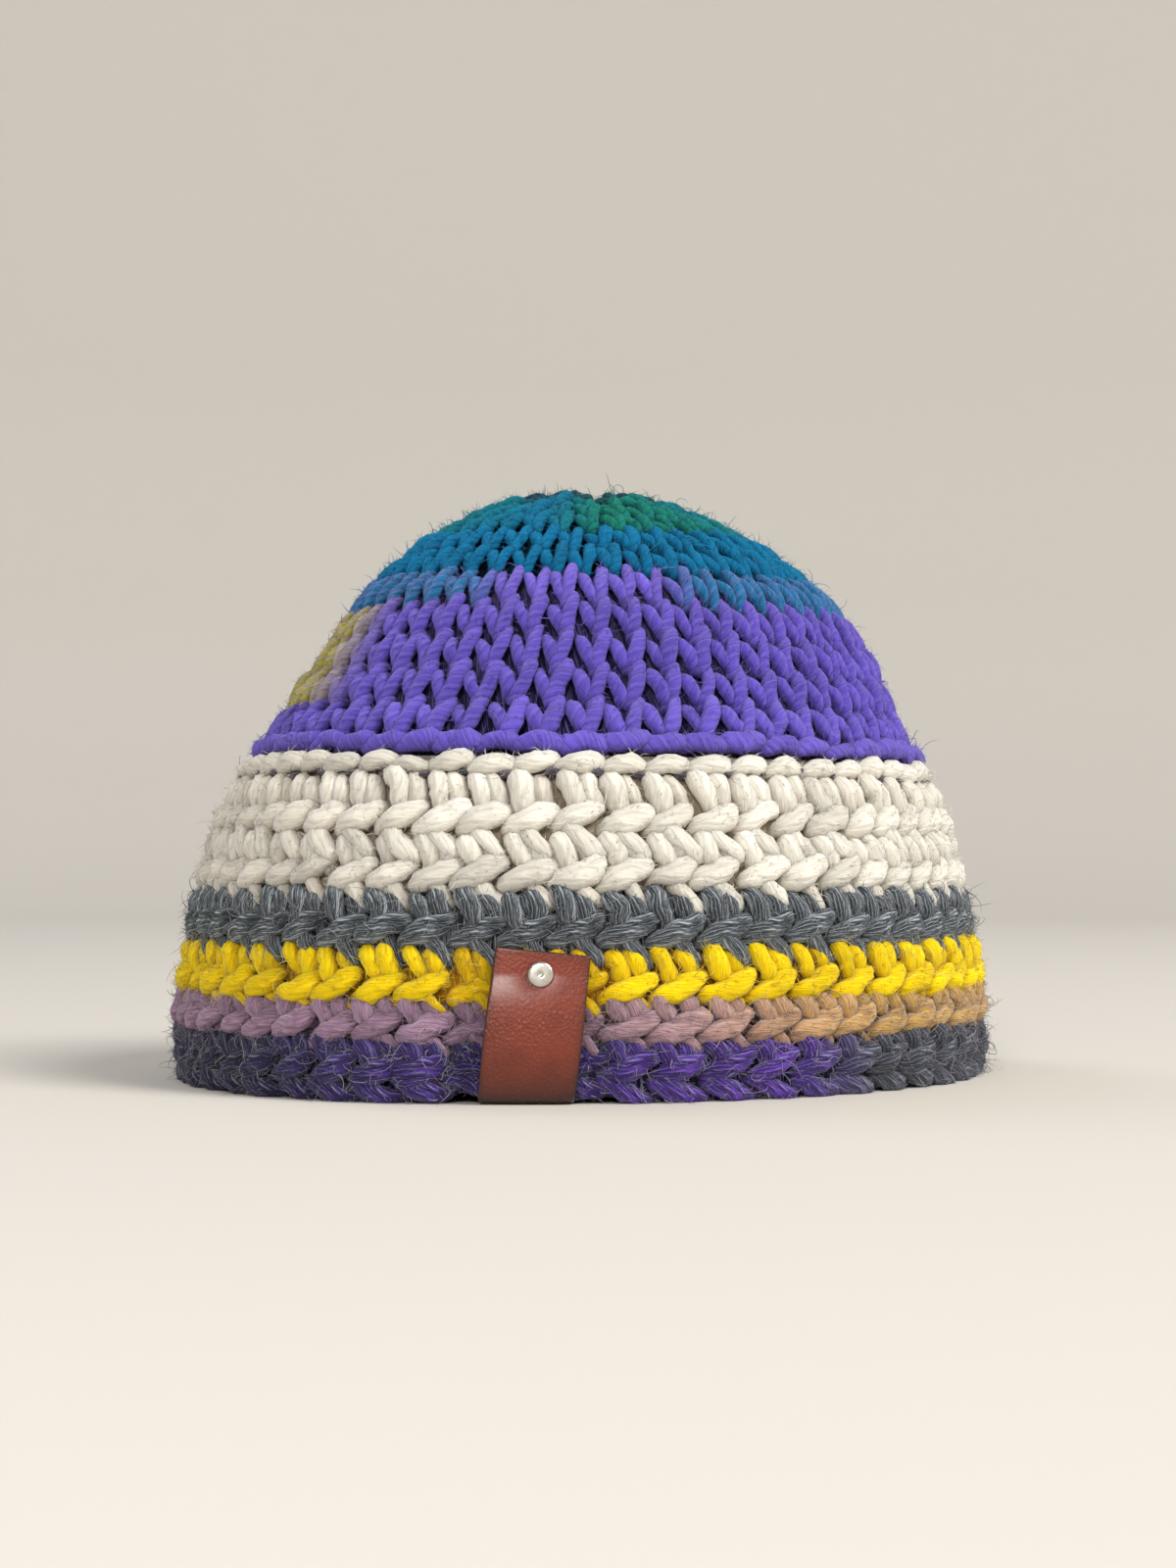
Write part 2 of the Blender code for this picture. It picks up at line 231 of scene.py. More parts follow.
def crown_relief(turn, share):
    """How far the crown's gathers stand out and its centre dips in."""
    near = eased(np.abs(share - GATHER_SHARE), GATHER_FULL, GATHER_GONE)
    gathers = GATHER_HEIGHT * np.cos(GATHER_COUNT * turn) * near
    return gathers - DIMPLE_DEPTH * eased(1 - share, DIMPLE_FULL, DIMPLE_GONE)


def fabric(turn, share, out):
    """Points in the fabric, that far out of the hat's inside, none of them under the floor."""
    turn, share, out = np.broadcast_arrays(turn, share, out)
    points = inside_point(turn, share) + outward(turn, share) * (out + crown_relief(turn, share))[..., None]
    lift = TAG_LIFT * eased(from_tag(turn), TAG_REACH, TAG_REACH + FABRIC_EASE)
    points[..., 2] = np.maximum(points[..., 2], 0) + lift * eased(share * FABRIC_LENGTH, 0.0, LIFT_FADE)
    return points


print("pressed flat by the tag, mm round and up:", round(2 * TAG_REACH * 1000, 1), round(TAG_TOP * 1000, 1))

# %% [markdown]
# ## Dyes, with painted shade
#
# The wool is space-dyed: one long yarn changes colour along its length, so a stripe drifts from one hue
# to another on its way round. Each dye is a short table of turns and colours, blended round the hat.
# Round the front, on the side away from the window, the colours are also darker, as painted shade.


# %% Colours
def linear(hex_code):
    """An sRGB hex colour as the linear RGB that a shader takes."""
    parts = np.array([int(hex_code[i : i + 2], 16) / 255 for i in (1, 3, 5)])
    return np.where(parts <= 0.04045, parts / 12.92, ((parts + 0.055) / 1.055) ** 2.4)


DYES_AND_SHADE = {
    # degrees round from the front, hex colour; round the front, away from the window, they are darker as
    # painted shade
    "rim": ((-180, "#4E5259"), (-60, "#2E303C"), (20, "#2B2941"), (45, "#4C3484"), (100, "#6038A6"),
            (112, "#575A62"), (180, "#4E5259")),
    "mauve": ((-180, "#B8945E"), (-90, "#9C7E98"), (-20, "#967892"), (60, "#A0829C"), (85, "#AA8A8C"),
              (98, "#B4906C"), (115, "#BE9A58"), (180, "#B8945E")),
    "yellow": ((-180, "#F0CC06"), (-30, "#D8B80E"), (15, "#E8C507"), (60, "#F5D206"), (180, "#F0CC06")),
    "grey": ((-180, "#585E66"), (-40, "#33474F"), (0, "#3F4A48"), (25, "#4E545A"), (60, "#585E66"),
             (180, "#585E66")),
    "cream": ((-180, "#DCD8CD"), (-40, "#C8C2B5"), (20, "#D3CEC3"), (50, "#E0DCD2"), (180, "#DCD8CD")),
    # the eyelets' strand, painted dark as the shade in them
    "eyelet": ((-180, "#4A4456"), (180, "#4A4456")),
    "purple": ((-180, "#604EBE"), (0, "#5E4CBA"), (90, "#6C5ACB"), (180, "#604EBE")),
    "olive patch": ((-180, "#604EBE"), (-82, "#604EBE"), (-60, "#B0AA2E"), (4, "#B8AE2C"), (20, "#5F4DBC"),
                    (180, "#604EBE")),
    "purple to teal": ((-180, "#046C9A"), (40, "#046E9F"), (48, "#6C5ACB"), (86, "#6C5ACB"), (94, "#046E9F"),
                       (180, "#046C9A")),
    "teal": ((-180, "#056892"), (40, "#046E9F"), (180, "#056892")),
    "green": ((-180, "#07668F"), (-30, "#127C69"), (50, "#086B94"), (75, "#137A58"), (120, "#107465"),
              (180, "#07668F")),
    "dark": ((-180, "#1E3032"), (0, "#242325"), (90, "#1B3C32"), (180, "#1E3032")),
}


def dyed(dye_and_shade, turn):
    """The linear colours of a yarn at those turns, with the painted shade round the front."""
    degrees = (np.degrees(turn) + 180) % 360 - 180
    stops = [degree for degree, _ in DYES_AND_SHADE[dye_and_shade]]
    colours = np.array([linear(code) for _, code in DYES_AND_SHADE[dye_and_shade]])
    return np.stack([np.interp(degrees, stops, colours[:, channel]) for channel in range(3)], axis=-1)


print("dyes:", ", ".join(DYES_AND_SHADE))

# %% [markdown]
# ## Strands of yarn
#
# A strand is a soft tube with rounded ends along a short path. A table gives the path of one stitch: how
# far across its stitch, how far up, how far in from the crest of the rib, and how thick. The tube is laid
# once for every stitch round the hat, with a little unevenness, as hands make it. All strands of a stripe
# are joined in one mesh from arrays, because thousands of separate objects would be slow.

# %% The yarn, and how unevenly hands lay it
MM = 0.001
STITCHES = 54
YARN = 0.00235
SQUASH = 0.93
CREST = WALL + RIB
# across in stitches, up, depth, thickness
UNEVEN = np.array([0.030, 0.00034, 0.00026, 0.07])
# how much of it each row of a path adds of its own, and how much lighter or darker a stitch may be
ROW_SHARE = 0.8
DYE_UNEVEN = 0.07
# small lumps in the skin of a strand, and how much of a lump its neighbours share
LUMPS = 0.055
LUMP_SPREAD = 0.6
# plies, and millimetres of yarn in which they go round once
ONE_PLY = (1, 42.0)
TWO_PLY = (2, 26.0)
THREE_PLY = (3, 6.4)
# plies with a slower twist than this, in millimetres, also show in the outline of the strand
SLOW_TWIST = 20.0
PLY_DEPTH = 0.08
PLY_MEAN = 0.6
# as shares of the thickness: the thinnest, the nearest to the inside, the length and the flat of a tip
THINNEST = 0.05
INNERMOST = 0.6
TIP_LENGTH = 0.9
TIP_BLUNT = 0.02
CLEAR = 0.0001
rng = np.random.default_rng(54)
print("yarn, mm thick:", round(2 * YARN / MM, 2))

# %% The painted shade between the strands
# how deep under the crest the painted shade on the wool starts, and where it is full
SHADE_FROM = 0.0014
SHADE_FULL = 0.0050
PAINTED_SHADE_TINTS = {
    # what the colour deep between the strands is multiplied by, as painted shade
    "cream": (0.50, 0.43, 0.33),
    "yellow": (0.46, 0.28, 0.08),
    "mauve": (0.30, 0.24, 0.28),
    "grey": (0.22, 0.23, 0.26),
    "rim": (0.20, 0.18, 0.24),
}
# painted shade for every other yarn, nearly black deep between the stitches of plain knitting
PLAIN_PAINTED_SHADE_TINT = (0.03, 0.028, 0.05)


def painted_shade_tint(dye_and_shade):
    """What a yarn's colour is multiplied by where shade is painted on the wool."""
    return np.array(PAINTED_SHADE_TINTS.get(dye_and_shade, PLAIN_PAINTED_SHADE_TINT))


def shaded(colour, dye_and_shade, sunk):
    """A yarn's colours, with shade painted on by how far they are sunk, from 0 to 1."""
    return colour * (1 - sunk * (1 - painted_shade_tint(dye_and_shade)))


print("fully in shade, mm under the crest:", round(SHADE_FULL / MM, 1))


# %% Laying strands
def length_along(centre):
    """Metres from the start of each strand to each of its points."""
    pieces = np.linalg.norm(np.diff(centre, axis=1), axis=-1)
    return np.concatenate([np.zeros((len(centre), 1)), np.cumsum(pieces, 1)], 1)


def round_ends(thickness, so_far):
    """The thickness, drawn in at both ends to a round tip."""
    to_end = np.minimum(so_far, so_far[:, -1:] - so_far)
    tip = np.clip(1 - to_end / (thickness * TIP_LENGTH), 0, 1)
    return thickness * np.sqrt(np.maximum(1 - tip**2, TIP_BLUNT))


def lumpy(shape):
    """Random thick and thin places in the skin of strands, shared a little with their neighbours."""
    lumps = rng.normal(size=shape)
    beside, behind = np.roll(lumps, 1, axis=2), np.roll(lumps, 1, axis=1)
    return 1 + LUMPS * (lumps + LUMP_SPREAD * beside + LUMP_SPREAD * behind)


def lay_strands(
    rows, course, dye_and_shade, count=STITCHES, radius=YARN, steps=12, sides=8, phase=0.0, crest=CREST, twist=TWO_PLY
):
    """One tube for each stitch of a course.

    Rows hold across in stitches, up and in from the crest in metres, and thickness as a share of the radius.
    """
    rows = np.array(rows)
    whole = rng.normal(size=(count, 1, 4)) * UNEVEN
    each = rng.normal(size=(count, len(rows), 4)) * UNEVEN
    path = smooth_path(rows + whole + ROW_SHARE * each, steps)
    across, up, depth, thick = np.moveaxis(path, -1, 0)
    turn = (np.arange(count)[:, None] + phase + across) / count * 2 * math.pi
    share = course + up / OUTSIDE_LENGTH
    thickness = radius * np.maximum(thick, THINNEST)
    out = crest - radius - depth
    out = out - pressed(turn, share) * np.maximum(0.0, out + thickness - WALL + CLEAR)
    centre = fabric(turn, share, np.maximum(out, thickness * INNERMOST))
    so_far = length_along(centre)
    thickness = round_ends(thickness, so_far)

    ahead = unit(np.gradient(centre, axis=1))
    side = unit(np.cross(outward(turn, share), ahead))
    away = np.cross(ahead, side)
    angle = np.linspace(0, 2 * math.pi, sides, endpoint=False) - math.pi / 2
    normals = np.cos(angle)[:, None] * side[:, :, None] + SQUASH * np.sin(angle)[:, None] * away[:, :, None]
    plies, twist_mm = twist
    around = np.arange(sides) / sides - so_far[:, :, None] / MM / twist_mm
    lobed = PLY_DEPTH if plies > 1 and twist_mm > SLOW_TWIST else 0.0
    lobes = 1 + lobed * (np.abs(np.sin(math.pi * plies * around)) - PLY_MEAN)
    skin = thickness[:, :, None] * lobes * lumpy((count, steps, sides))
    points = centre[:, :, None, :] + normals * skin[..., None]
    points[..., 2] = np.maximum(points[..., 2], 0.0)

    colour = (dyed(dye_and_shade, turn) * (1 + rng.normal(size=(count, 1, 1)) * DYE_UNEVEN))[:, :, None, :]
    proud = out[:, :, None] + SQUASH * thickness[:, :, None] * np.sin(angle)
    # painted shade: the deeper a point of the skin lies under the crest, the darker its colour
    sunk = np.clip((crest - proud - SHADE_FROM) / (SHADE_FULL - SHADE_FROM), 0, 1)[..., None]
    return {
        "points": points,
        "ends": np.stack([centre[:, 0], centre[:, -1]], axis=1),
        "normals": normals,
        "outward": outward(turn, share),
        "covered": under_tag(turn, share),
        "colour": np.clip(shaded(colour, dye_and_shade, sunk), 0, 1),
        "length": so_far,
    }


# %% [markdown]
# The skin of a tube is a grid of quads, and each end closes over one point. Two maps go with it. The
# first, in turns and millimetres, tells the wool shader which way the fibres run. The second lays every
# strand in a cell of its own, side by side, so that a finish can be baked onto it.


# %% Joining strands into one mesh
def corner_places(*corners):
    """The (around, along) place of every corner of the faces, from one such pair for each corner."""
    return np.stack([np.stack(np.broadcast_arrays(*corner), -1) for corner in corners], -2)


def tube_faces(count, steps, sides):
    """Corner numbers and (around, along) corner places for the quads of that many equal tubes."""
    row, column = np.meshgrid(np.arange(steps - 1), np.arange(sides), indexing="ij")
    right = (column + 1) % sides
    here, above = row * sides, (row + 1) * sides
    grid = np.stack([here + column, here + right, above + right, above + column], -1).reshape(-1, 4)
    grid_place = corner_places((column, row), (column + 1, row), (column + 1, row + 1), (column, row + 1))
    start = np.arange(0, sides, 2)
    pole, top, last = np.full_like(start, steps * sides), steps - 1, (steps - 1) * sides
    near = np.stack([pole, (start + 2) % sides, start + 1, start], -1)
    far = np.stack([pole + 1, last + start, last + start + 1, last + (start + 2) % sides], -1)
    near_place = corner_places((start + 1, 0), (start + 2, 0), (start + 1, 0), (start, 0))
    far_place = corner_places((start + 1, top), (start, top), (start + 1, top), (start + 2, top))
    faces = np.concatenate([grid, near, far])
    places = np.concatenate([grid_place.reshape(-1, 4, 2), near_place, far_place])
    stride = steps * sides + 2
    faces = (faces[None] + (np.arange(count) * stride)[:, None, None]).reshape(-1, 4)
    return faces, np.broadcast_to(places, (count, *places.shape))


def bundle(strands):
    """A group of equal strands as points, quads, colours and corner places in turns and millimetres."""
    points = strands["points"]
    count, steps, sides, _ = points.shape
    faces, places = tube_faces(count, steps, sides)
    flat = np.concatenate([points.reshape(count, -1, 3), strands["ends"]], axis=1)
    colour = np.broadcast_to(strands["colour"], points.shape)
    colour = np.concatenate([colour.reshape(count, -1, 3), colour[:, [0, -1], 0]], axis=1)
    index = np.broadcast_to(np.arange(count)[:, None, None], places.shape[:3])
    length = strands["length"][index, places[..., 1]]
    fibre = np.stack([places[..., 0] / sides, length / MM], -1)
    cell = np.stack([places[..., 0] / sides, places[..., 1] / (steps - 1)], -1)
    return {
        "points": flat.reshape(-1, 3),
        "faces": faces,
        "colour": colour.reshape(-1, 3),
        "fibre": fibre.reshape(-1, 4, 2),
        "cell": cell.reshape(-1, 4, 2),
        "cells": np.repeat(np.arange(count), places.shape[1]),
    }


# %% Putting a mesh in the scene
# where a strand's part of the second map starts in its cell, and how much of the cell it fills
CELL_EDGE = 0.04
CELL_FILLED = 0.92


def put_in_scene(name, mesh_data, material, replaced=None):
    """The mesh as a smooth piece on the hat's body, standing for a solid of the frame if one is named."""
    mesh_data.shade_smooth()
    mesh_data.materials.append(material)
    piece = bpy.data.objects.new(name, mesh_data)
    bpy.context.scene.collection.objects.link(piece)
    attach(piece, "root")
    if replaced:
        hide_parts(replaced)
    mesh_data.calc_loop_triangles()
    print(f"{name}: {len(mesh_data.loop_triangles)} triangles")
    return piece


def joined_mesh(name, bundles):
    """One mesh from bundles of equal polygons, with the yarn's colour and painted shade on its points, and
    both maps.
    """
    first, faces, cells, used = 0, [], [], 0
    for part in bundles:
        faces.append(part["faces"] + first)
        cells.append(part["cells"] + used)
        first += len(part["points"])
        used += part["cells"].max() + 1
    faces = np.concatenate(faces)
    cells = np.concatenate(cells)
    points, colour, fibre, cell = (
        np.concatenate([part[key] for part in bundles]) for key in ("points", "colour", "fibre", "cell")
    )
    rows = math.ceil(math.sqrt(used))
    corner = np.stack([cells % rows, cells // rows], -1)[:, None, :]
    atlas = (corner + CELL_EDGE + CELL_FILLED * cell) / rows

    mesh_data = bpy.data.meshes.new(name)
    mesh_data.vertices.add(len(points))
    mesh_data.vertices.foreach_set("co", points.ravel().astype(np.float32))
    mesh_data.loops.add(faces.size)
    mesh_data.loops.foreach_set("vertex_index", faces.ravel().astype(np.int32))
    mesh_data.polygons.add(len(faces))
    mesh_data.polygons.foreach_set("loop_start", np.arange(0, faces.size, faces.shape[1], dtype=np.int32))
    mesh_data.update(calc_edges=True)
    for map_name, places in (("OFBake", atlas), ("fibre", fibre)):
        layer = mesh_data.uv_layers.new(name=map_name)
        layer.uv.foreach_set("vector", places.ravel().astype(np.float32))
    # the colour on the points is the dye with its painted shade
    dye_and_shade = mesh_data.color_attributes.new("dye_and_shade", "FLOAT_COLOR", "POINT")
    shown = np.concatenate([colour, np.ones((len(colour), 1))], axis=1)
    dye_and_shade.data.foreach_set("color", shown.ravel().astype(np.float32))
    return mesh_data


# %% [markdown]
# ## The wall behind the strands
#
# Seen from inside, the fabric shows its purl side: rows of low bumps that lock into each other. It is one
# closed wall for each colour, bumpy inside and plain where the outer strands cover it. It also stops
# light from showing between the strands, as the back of real knitting does. Its outer side is painted
# dark as the shade between the strands, and its inner side a little darker as painted shade.

# %% The inner wall of one stripe
BACK_DEPTH = 0.0050
PLAIN_BACK_DEPTH = 0.0034
# the inside's colour is multiplied by this, as painted shade
INSIDE_SHADE = 0.9
PURL_HEIGHT = 0.0011
PURL_ROW = 0.0062
# how far the arcs of a purl row swing, in rows, and how high the lower row is beside the upper one
PURL_SWING = 0.16
PURL_LOWER = 0.8
ACROSS_STEPS = 4
ROW_STEP = 0.0021
# the wall stops just before the pole of the dome
TOP_SHARE = 0.999


def purl_relief(turn, share):
    """How far the purl side's bumps stand into the hat, as two rows of arcs that lock into each other."""
    across = turn / (2 * math.pi) * STITCHES
    row = share * FABRIC_LENGTH / PURL_ROW
    swing = PURL_SWING * np.cos(2 * math.pi * across)
    upper = np.cos(math.pi * (row - swing)) ** 2
    lower = np.cos(math.pi * (row + 0.5 + swing)) ** 2
    return PURL_HEIGHT * np.maximum(upper**2, PURL_LOWER * lower**2)


def wall(low, high, dye_and_shade, back_depth=BACK_DEPTH):
    """A closed ring of wall between two shares of the way up, with shade painted on: deep on its outer side,
    where the strands cover it, and slight inside.
    """
    columns = STITCHES * ACROSS_STEPS
    rows = max(3, round((high - low) * FABRIC_LENGTH / ROW_STEP) + 1)
    turn = np.arange(columns) / columns * 2 * math.pi
    share = np.linspace(low, min(high, TOP_SHARE), rows)[:, None]
    inner_out = np.maximum(PURL_HEIGHT - purl_relief(turn[None], share), CLEAR)
    inner = fabric(turn[None], share, inner_out + pressed(turn[None], share) * CLEAR)
    back_share = np.linspace(low, min(high, TOP_SHARE), max(3, rows // 3))[:, None]
    back = fabric(turn[None], back_share, back_depth)
    rings = np.concatenate([inner, back[::-1]])
    count = len(rings)
    ring, column = np.meshgrid(np.arange(count), np.arange(columns), indexing="ij")
    here, after = ring * columns, (ring + 1) % count * columns
    right = (column + 1) % columns
    faces = np.stack([here + column, after + column, after + right, here + right], -1)
    around = np.stack([column, column, column + 1, column + 1], -1) / ACROSS_STEPS
    along = np.stack([ring, ring + 1, ring + 1, ring], -1)
    # painted shade: slight on the inside rings, deep on the outer ones between the strands
    shade = np.full((count, 1, 3), INSIDE_SHADE)
    shade[len(inner):] = painted_shade_tint(dye_and_shade)
    colour = dyed(dye_and_shade, turn)[None] * shade
    return {
        "points": rings.reshape(-1, 3),
        "faces": faces.reshape(-1, 4),
        "colour": colour.reshape(-1, 3),
        "fibre": np.stack([around, along * ROW_STEP / MM], -1).reshape(-1, 4, 2),
        "cell": np.stack([around * ACROSS_STEPS / columns, along / count], -1).reshape(-1, 4, 2),
        "cells": np.zeros(faces.size // 4, dtype=int),
    }


print("purl rows up the inside:", round(FABRIC_LENGTH / PURL_ROW))

# %% [markdown]
# ## Wool
#
# Carded sheep's wool, spun thick and soft. It is quite matt, with a faint glow at its edges from the
# fibres that stand off it, so the shader is rough with a little sheen. Plies wind round each other and
# fibres run along them. Both are worked out from the fibre map, which is in turns round the strand and
# millimetres along it.


# %% A helper for shader nodes
def add_node(tree, kind, values=None, links=None, **settings):
    """One node with its settings, its plain values and the sockets linked into it."""
    node = tree.nodes.new(kind)
    for name, value in settings.items():
        setattr(node, name, value)
    for socket, value in (values or {}).items():
        node.inputs[socket].default_value = value
    for socket, source in (links or {}).items():
        tree.links.new(source, node.inputs[socket])
    return node


def rgba(hex_code):
    """A hex colour as linear RGBA."""
    return [*linear(hex_code), 1.0]


def new_material(name, values):
    """A material, its node tree and its shader, with the shader's plain values set."""
    material = bpy.data.materials.new(name)
    material.use_nodes = True
    shader = material.node_tree.nodes["Principled BSDF"]
    for socket, value in values.items():
        shader.inputs[socket].default_value = value
    return material, material.node_tree, shader


# settings of the nodes that multiply two numbers, mix two colours, and multiply two colours
TIMES = {"operation": "MULTIPLY"}
BLEND = {"data_type": "RGBA"}
DARKEN = {"data_type": "RGBA", "blend_type": "MULTIPLY"}

# %% Flecks of other fibre, carded in
# a fleck starts where the noise is over the first and is full over the second. More flecks lower both
FLECK_FROM = 0.62
FLECK_FULL = 0.72
FLECK_REACH = 0.25
FLECK_COVER = 0.85
# where the first kind's noise is read, and how far on each further kind's is
FLECK_START = np.array([3.1, 0.0, 1.9])
FLECK_SHIFT = np.array([7.3, 2.7, 0.0])


def carded_in(tree, mixed, along_fibre, flecks):
    """The colour with flecks in it. Flecks are (hex colour, how much)."""
    for number, (hex_code, amount) in enumerate(flecks):
        offset = FLECK_SHIFT * number + FLECK_START
        shifted = add_node(tree, "ShaderNodeVectorMath", {1: offset}, {0: along_fibre}, operation="ADD")
        fleck = add_node(
            tree, "ShaderNodeTexNoise", {"Scale": 0.8, "Detail": 4.0, "Roughness": 0.7, "Distortion": 0.7},
            {"Vector": shifted.outputs[0]},
        )
        start, full = FLECK_FROM - FLECK_REACH * amount, FLECK_FULL - FLECK_REACH * amount
        chance = add_node(
            tree, "ShaderNodeMapRange",
            {"From Min": start, "From Max": full, "To Min": 0.0, "To Max": FLECK_COVER},
            {"Value": fleck.outputs["Fac"]},
        )
        blended = add_node(
            tree, "ShaderNodeMix", {"B": rgba(hex_code)}, {"Factor": chance.outputs[0], "A": mixed}, **BLEND
        )
        mixed = blended.outputs["Result"]
    return mixed


# %% The wool material
# A thick strand has hundreds of fibres round it. They are drawn as coarse as wisps, so that they show
FIBRES_ROUND = 28
FIBRE_LENGTH_MM = 6.0
CLOUD_MM = 4.5
FUZZ_MM = 0.60


def wool(name, twist, groove_mm, groove_shade, glow, flecks, contrast, sheen):
    """Spun wool, whose edges glow in a colour, with shade painted into the grooves between its plies. Flecks
    are (hex colour, how much) of fibres carded in.
    """
    plies, twist_mm = twist
    material, tree, shader = new_material(name, {
        "Roughness": 0.95,
        "Sheen Weight": sheen,
        "Sheen Roughness": 0.4,
        "Sheen Tint": rgba(glow),
        "Specular IOR Level": 0.2,
        "Subsurface Weight": 0.4,
        "Subsurface Radius": (1.0, 1.0, 1.0),
        "Subsurface Scale": 1.8 * MM,
    })
    uv = add_node(tree, "ShaderNodeUVMap", uv_map="fibre")
    place = add_node(tree, "ShaderNodeSeparateXYZ", links={"Vector": uv.outputs["UV"]})
    wound = add_node(tree, "ShaderNodeMath", {1: 1 / twist_mm}, {0: place.outputs["Y"]}, **TIMES)
    sides = {0: place.outputs["X"], 1: wound.outputs[0]}
    around = add_node(tree, "ShaderNodeMath", links=sides, operation="SUBTRACT")
    lane = add_node(tree, "ShaderNodeMath", {1: FIBRES_ROUND}, {0: around.outputs[0]}, **TIMES)
    stretch = add_node(tree, "ShaderNodeMath", {1: 1 / FIBRE_LENGTH_MM}, {0: place.outputs["Y"]}, **TIMES)
    along_fibre = add_node(
        tree, "ShaderNodeCombineXYZ", links={"X": lane.outputs[0], "Y": stretch.outputs[0]}
    )
    fibres = add_node(
        tree, "ShaderNodeTexNoise", {"Scale": 1.0, "Detail": 3.0, "Roughness": 0.65, "Distortion": 0.7},
        {"Vector": along_fibre.outputs[0]},
    )
    turns = add_node(tree, "ShaderNodeMath", {1: math.pi * plies}, {0: around.outputs[0]}, **TIMES)
    swing = add_node(tree, "ShaderNodeMath", links={0: turns.outputs[0]}, operation="SINE")
    ply = add_node(tree, "ShaderNodeMath", links={0: swing.outputs[0]}, operation="ABSOLUTE")

    dye_and_shade = add_node(tree, "ShaderNodeAttribute", attribute_name="dye_and_shade")
    shade = add_node(
        tree, "ShaderNodeMapRange",
        {"From Min": 0.3, "From Max": 0.7, "To Min": 1 - contrast, "To Max": 1 + contrast},
        {"Value": fibres.outputs["Fac"]},
    )
    colour = add_node(
        tree, "ShaderNodeMix", {"Factor": 1.0}, {"A": dye_and_shade.outputs["Color"], "B": shade.outputs[0]}, **DARKEN
    )
    # painted shade in the grooves between the plies
    groove = add_node(
        tree, "ShaderNodeMapRange", {"From Max": 0.6, "To Min": 1 - groove_shade, "To Max": 1.0},
        {"Value": ply.outputs[0]},
    )
    grooved = add_node(
        tree, "ShaderNodeMix", {"Factor": 1.0}, {"A": colour.outputs["Result"], "B": groove.outputs[0]},
        **DARKEN,
    )
    mixed = carded_in(tree, grooved.outputs["Result"], along_fibre.outputs[0], flecks)
    tree.links.new(mixed, shader.inputs["Base Color"])

    ply_bump = add_node(
        tree, "ShaderNodeBump", {"Strength": 0.9, "Distance": groove_mm * MM}, {"Height": ply.outputs[0]}
    )
    geometry = add_node(tree, "ShaderNodeNewGeometry")
    cloud = add_node(
        tree, "ShaderNodeTexNoise", {"Scale": 1 / (CLOUD_MM * MM), "Detail": 2.0},
        {"Vector": geometry.outputs["Position"]},
    )
    heights = {0: fibres.outputs["Fac"], 1: cloud.outputs["Fac"]}
    fuzz = add_node(tree, "ShaderNodeMath", links=heights, operation="ADD")
    bump = add_node(
        tree, "ShaderNodeBump", {"Strength": 1.0, "Distance": FUZZ_MM * MM},
        {"Height": fuzz.outputs[0], "Normal": ply_bump.outputs["Normal"]},
    )
    tree.links.new(bump.outputs["Normal"], shader.inputs["Normal"])
    return material


print("a wisp, mm wide:", round(2 * math.pi * YARN / MM / FIBRES_ROUND, 2))

# %% [markdown]
# ## Loose fibres
#
# Soft wool is never a clean rope: fine hairs stand off every strand, and the hand-spun yarn of the rim
# sheds long pale curls. Blender's own hair would be lost in an export, so each fibre is a thin closed
# spike: the long ones bend several times on their way, the middling ones once, and the short ones are
# straight. Real wool is about 0.03 mm thick, too fine to show, so it is drawn as thick as a bundle of a
# few hairs.

# %% Where fibres grow, and how they bend
FIBRE_RADIUS = 0.000085
ROOT_SPREAD = 0.0005
# how squarely a place has to face out before fibres grow there
FACING_OUT = 0.25
# how unlike one another the fibres are, as shares of what their kind has
LIFTS = (0.3, 1.3)
CURLS = (0.3, 1.0)
LENGTHS = (0.35, 1.0)
PALENESS = (0.2, 1.0)
BRIGHTNESS = (0.55, 1.0)
# how far their bends lean out of one plane and wander, and how much they taper
LEAN = 0.9
WANDER = 0.12
TAPER = 0.6
# moves the axis of a bend a little, so that it never lies along the fibre
NOT_ALONG = 0.01
fibre_rng = np.random.default_rng(7)
print("a drawn fibre, mm thick:", round(2 * FIBRE_RADIUS / MM, 2))


def turned(vectors, axes, angle):
    """Vectors turned round unit axes by an angle, with Rodrigues' formula."""
    along = (vectors * axes).sum(-1, keepdims=True)
    sideways = np.cross(axes, vectors) * np.sin(angle)
    return vectors * np.cos(angle) + sideways + axes * along * (1 - np.cos(angle))


def fibre_roots(groups, count):
    """Random places on the outer side of the strands, with the ways out and along, and the colours."""
    found = []
    for strands in groups:
        points, normals, colour = strands["points"], unit(strands["normals"]), strands["colour"]
        along = np.broadcast_to(np.gradient(points.mean(axis=2), axis=1)[:, :, None, :], points.shape)
        facing = (normals * strands["outward"][:, :, None, :]).sum(-1)
        grows = (facing > FACING_OUT) & ~strands["covered"][:, :, None]
        found.append(np.concatenate([points[grows], normals[grows], unit(along[grows]), colour[grows]], -1))
    found = np.concatenate(found)
    return np.split(found[fibre_rng.integers(0, len(found), count)], 4, axis=-1)


def varied(count, low=0.0, high=1.0):
    """A random number between two for each fibre."""
    return fibre_rng.uniform(low, high, (count, 1))


# %% One fibre as a closed spike
def spike_faces(rings):
    """The triangles of one spike and the place of each corner, from 0 to 1 round it and along it."""
    tip = 3 * rings
    faces, places = [(0, 2, 1)], [((0, 0), (2 / 3, 0), (1 / 3, 0))]
    for ring in range(rings):
        for side in range(3):
            here, beside = 3 * ring + side, 3 * ring + (side + 1) % 3
            left, right = side / 3, (side + 1) / 3
            low, high = ring / rings, (ring + 1) / rings
            if ring == rings - 1:
                faces.append((here, beside, tip))
                places.append(((left, low), (right, low), (left, high)))
            else:
                faces += [(here, beside, beside + 3), (here, beside + 3, here + 3)]
                places.append(((left, low), (right, low), (right, high)))
                places.append(((left, low), (right, high), (left, high)))
    return np.array(faces), np.array(places)


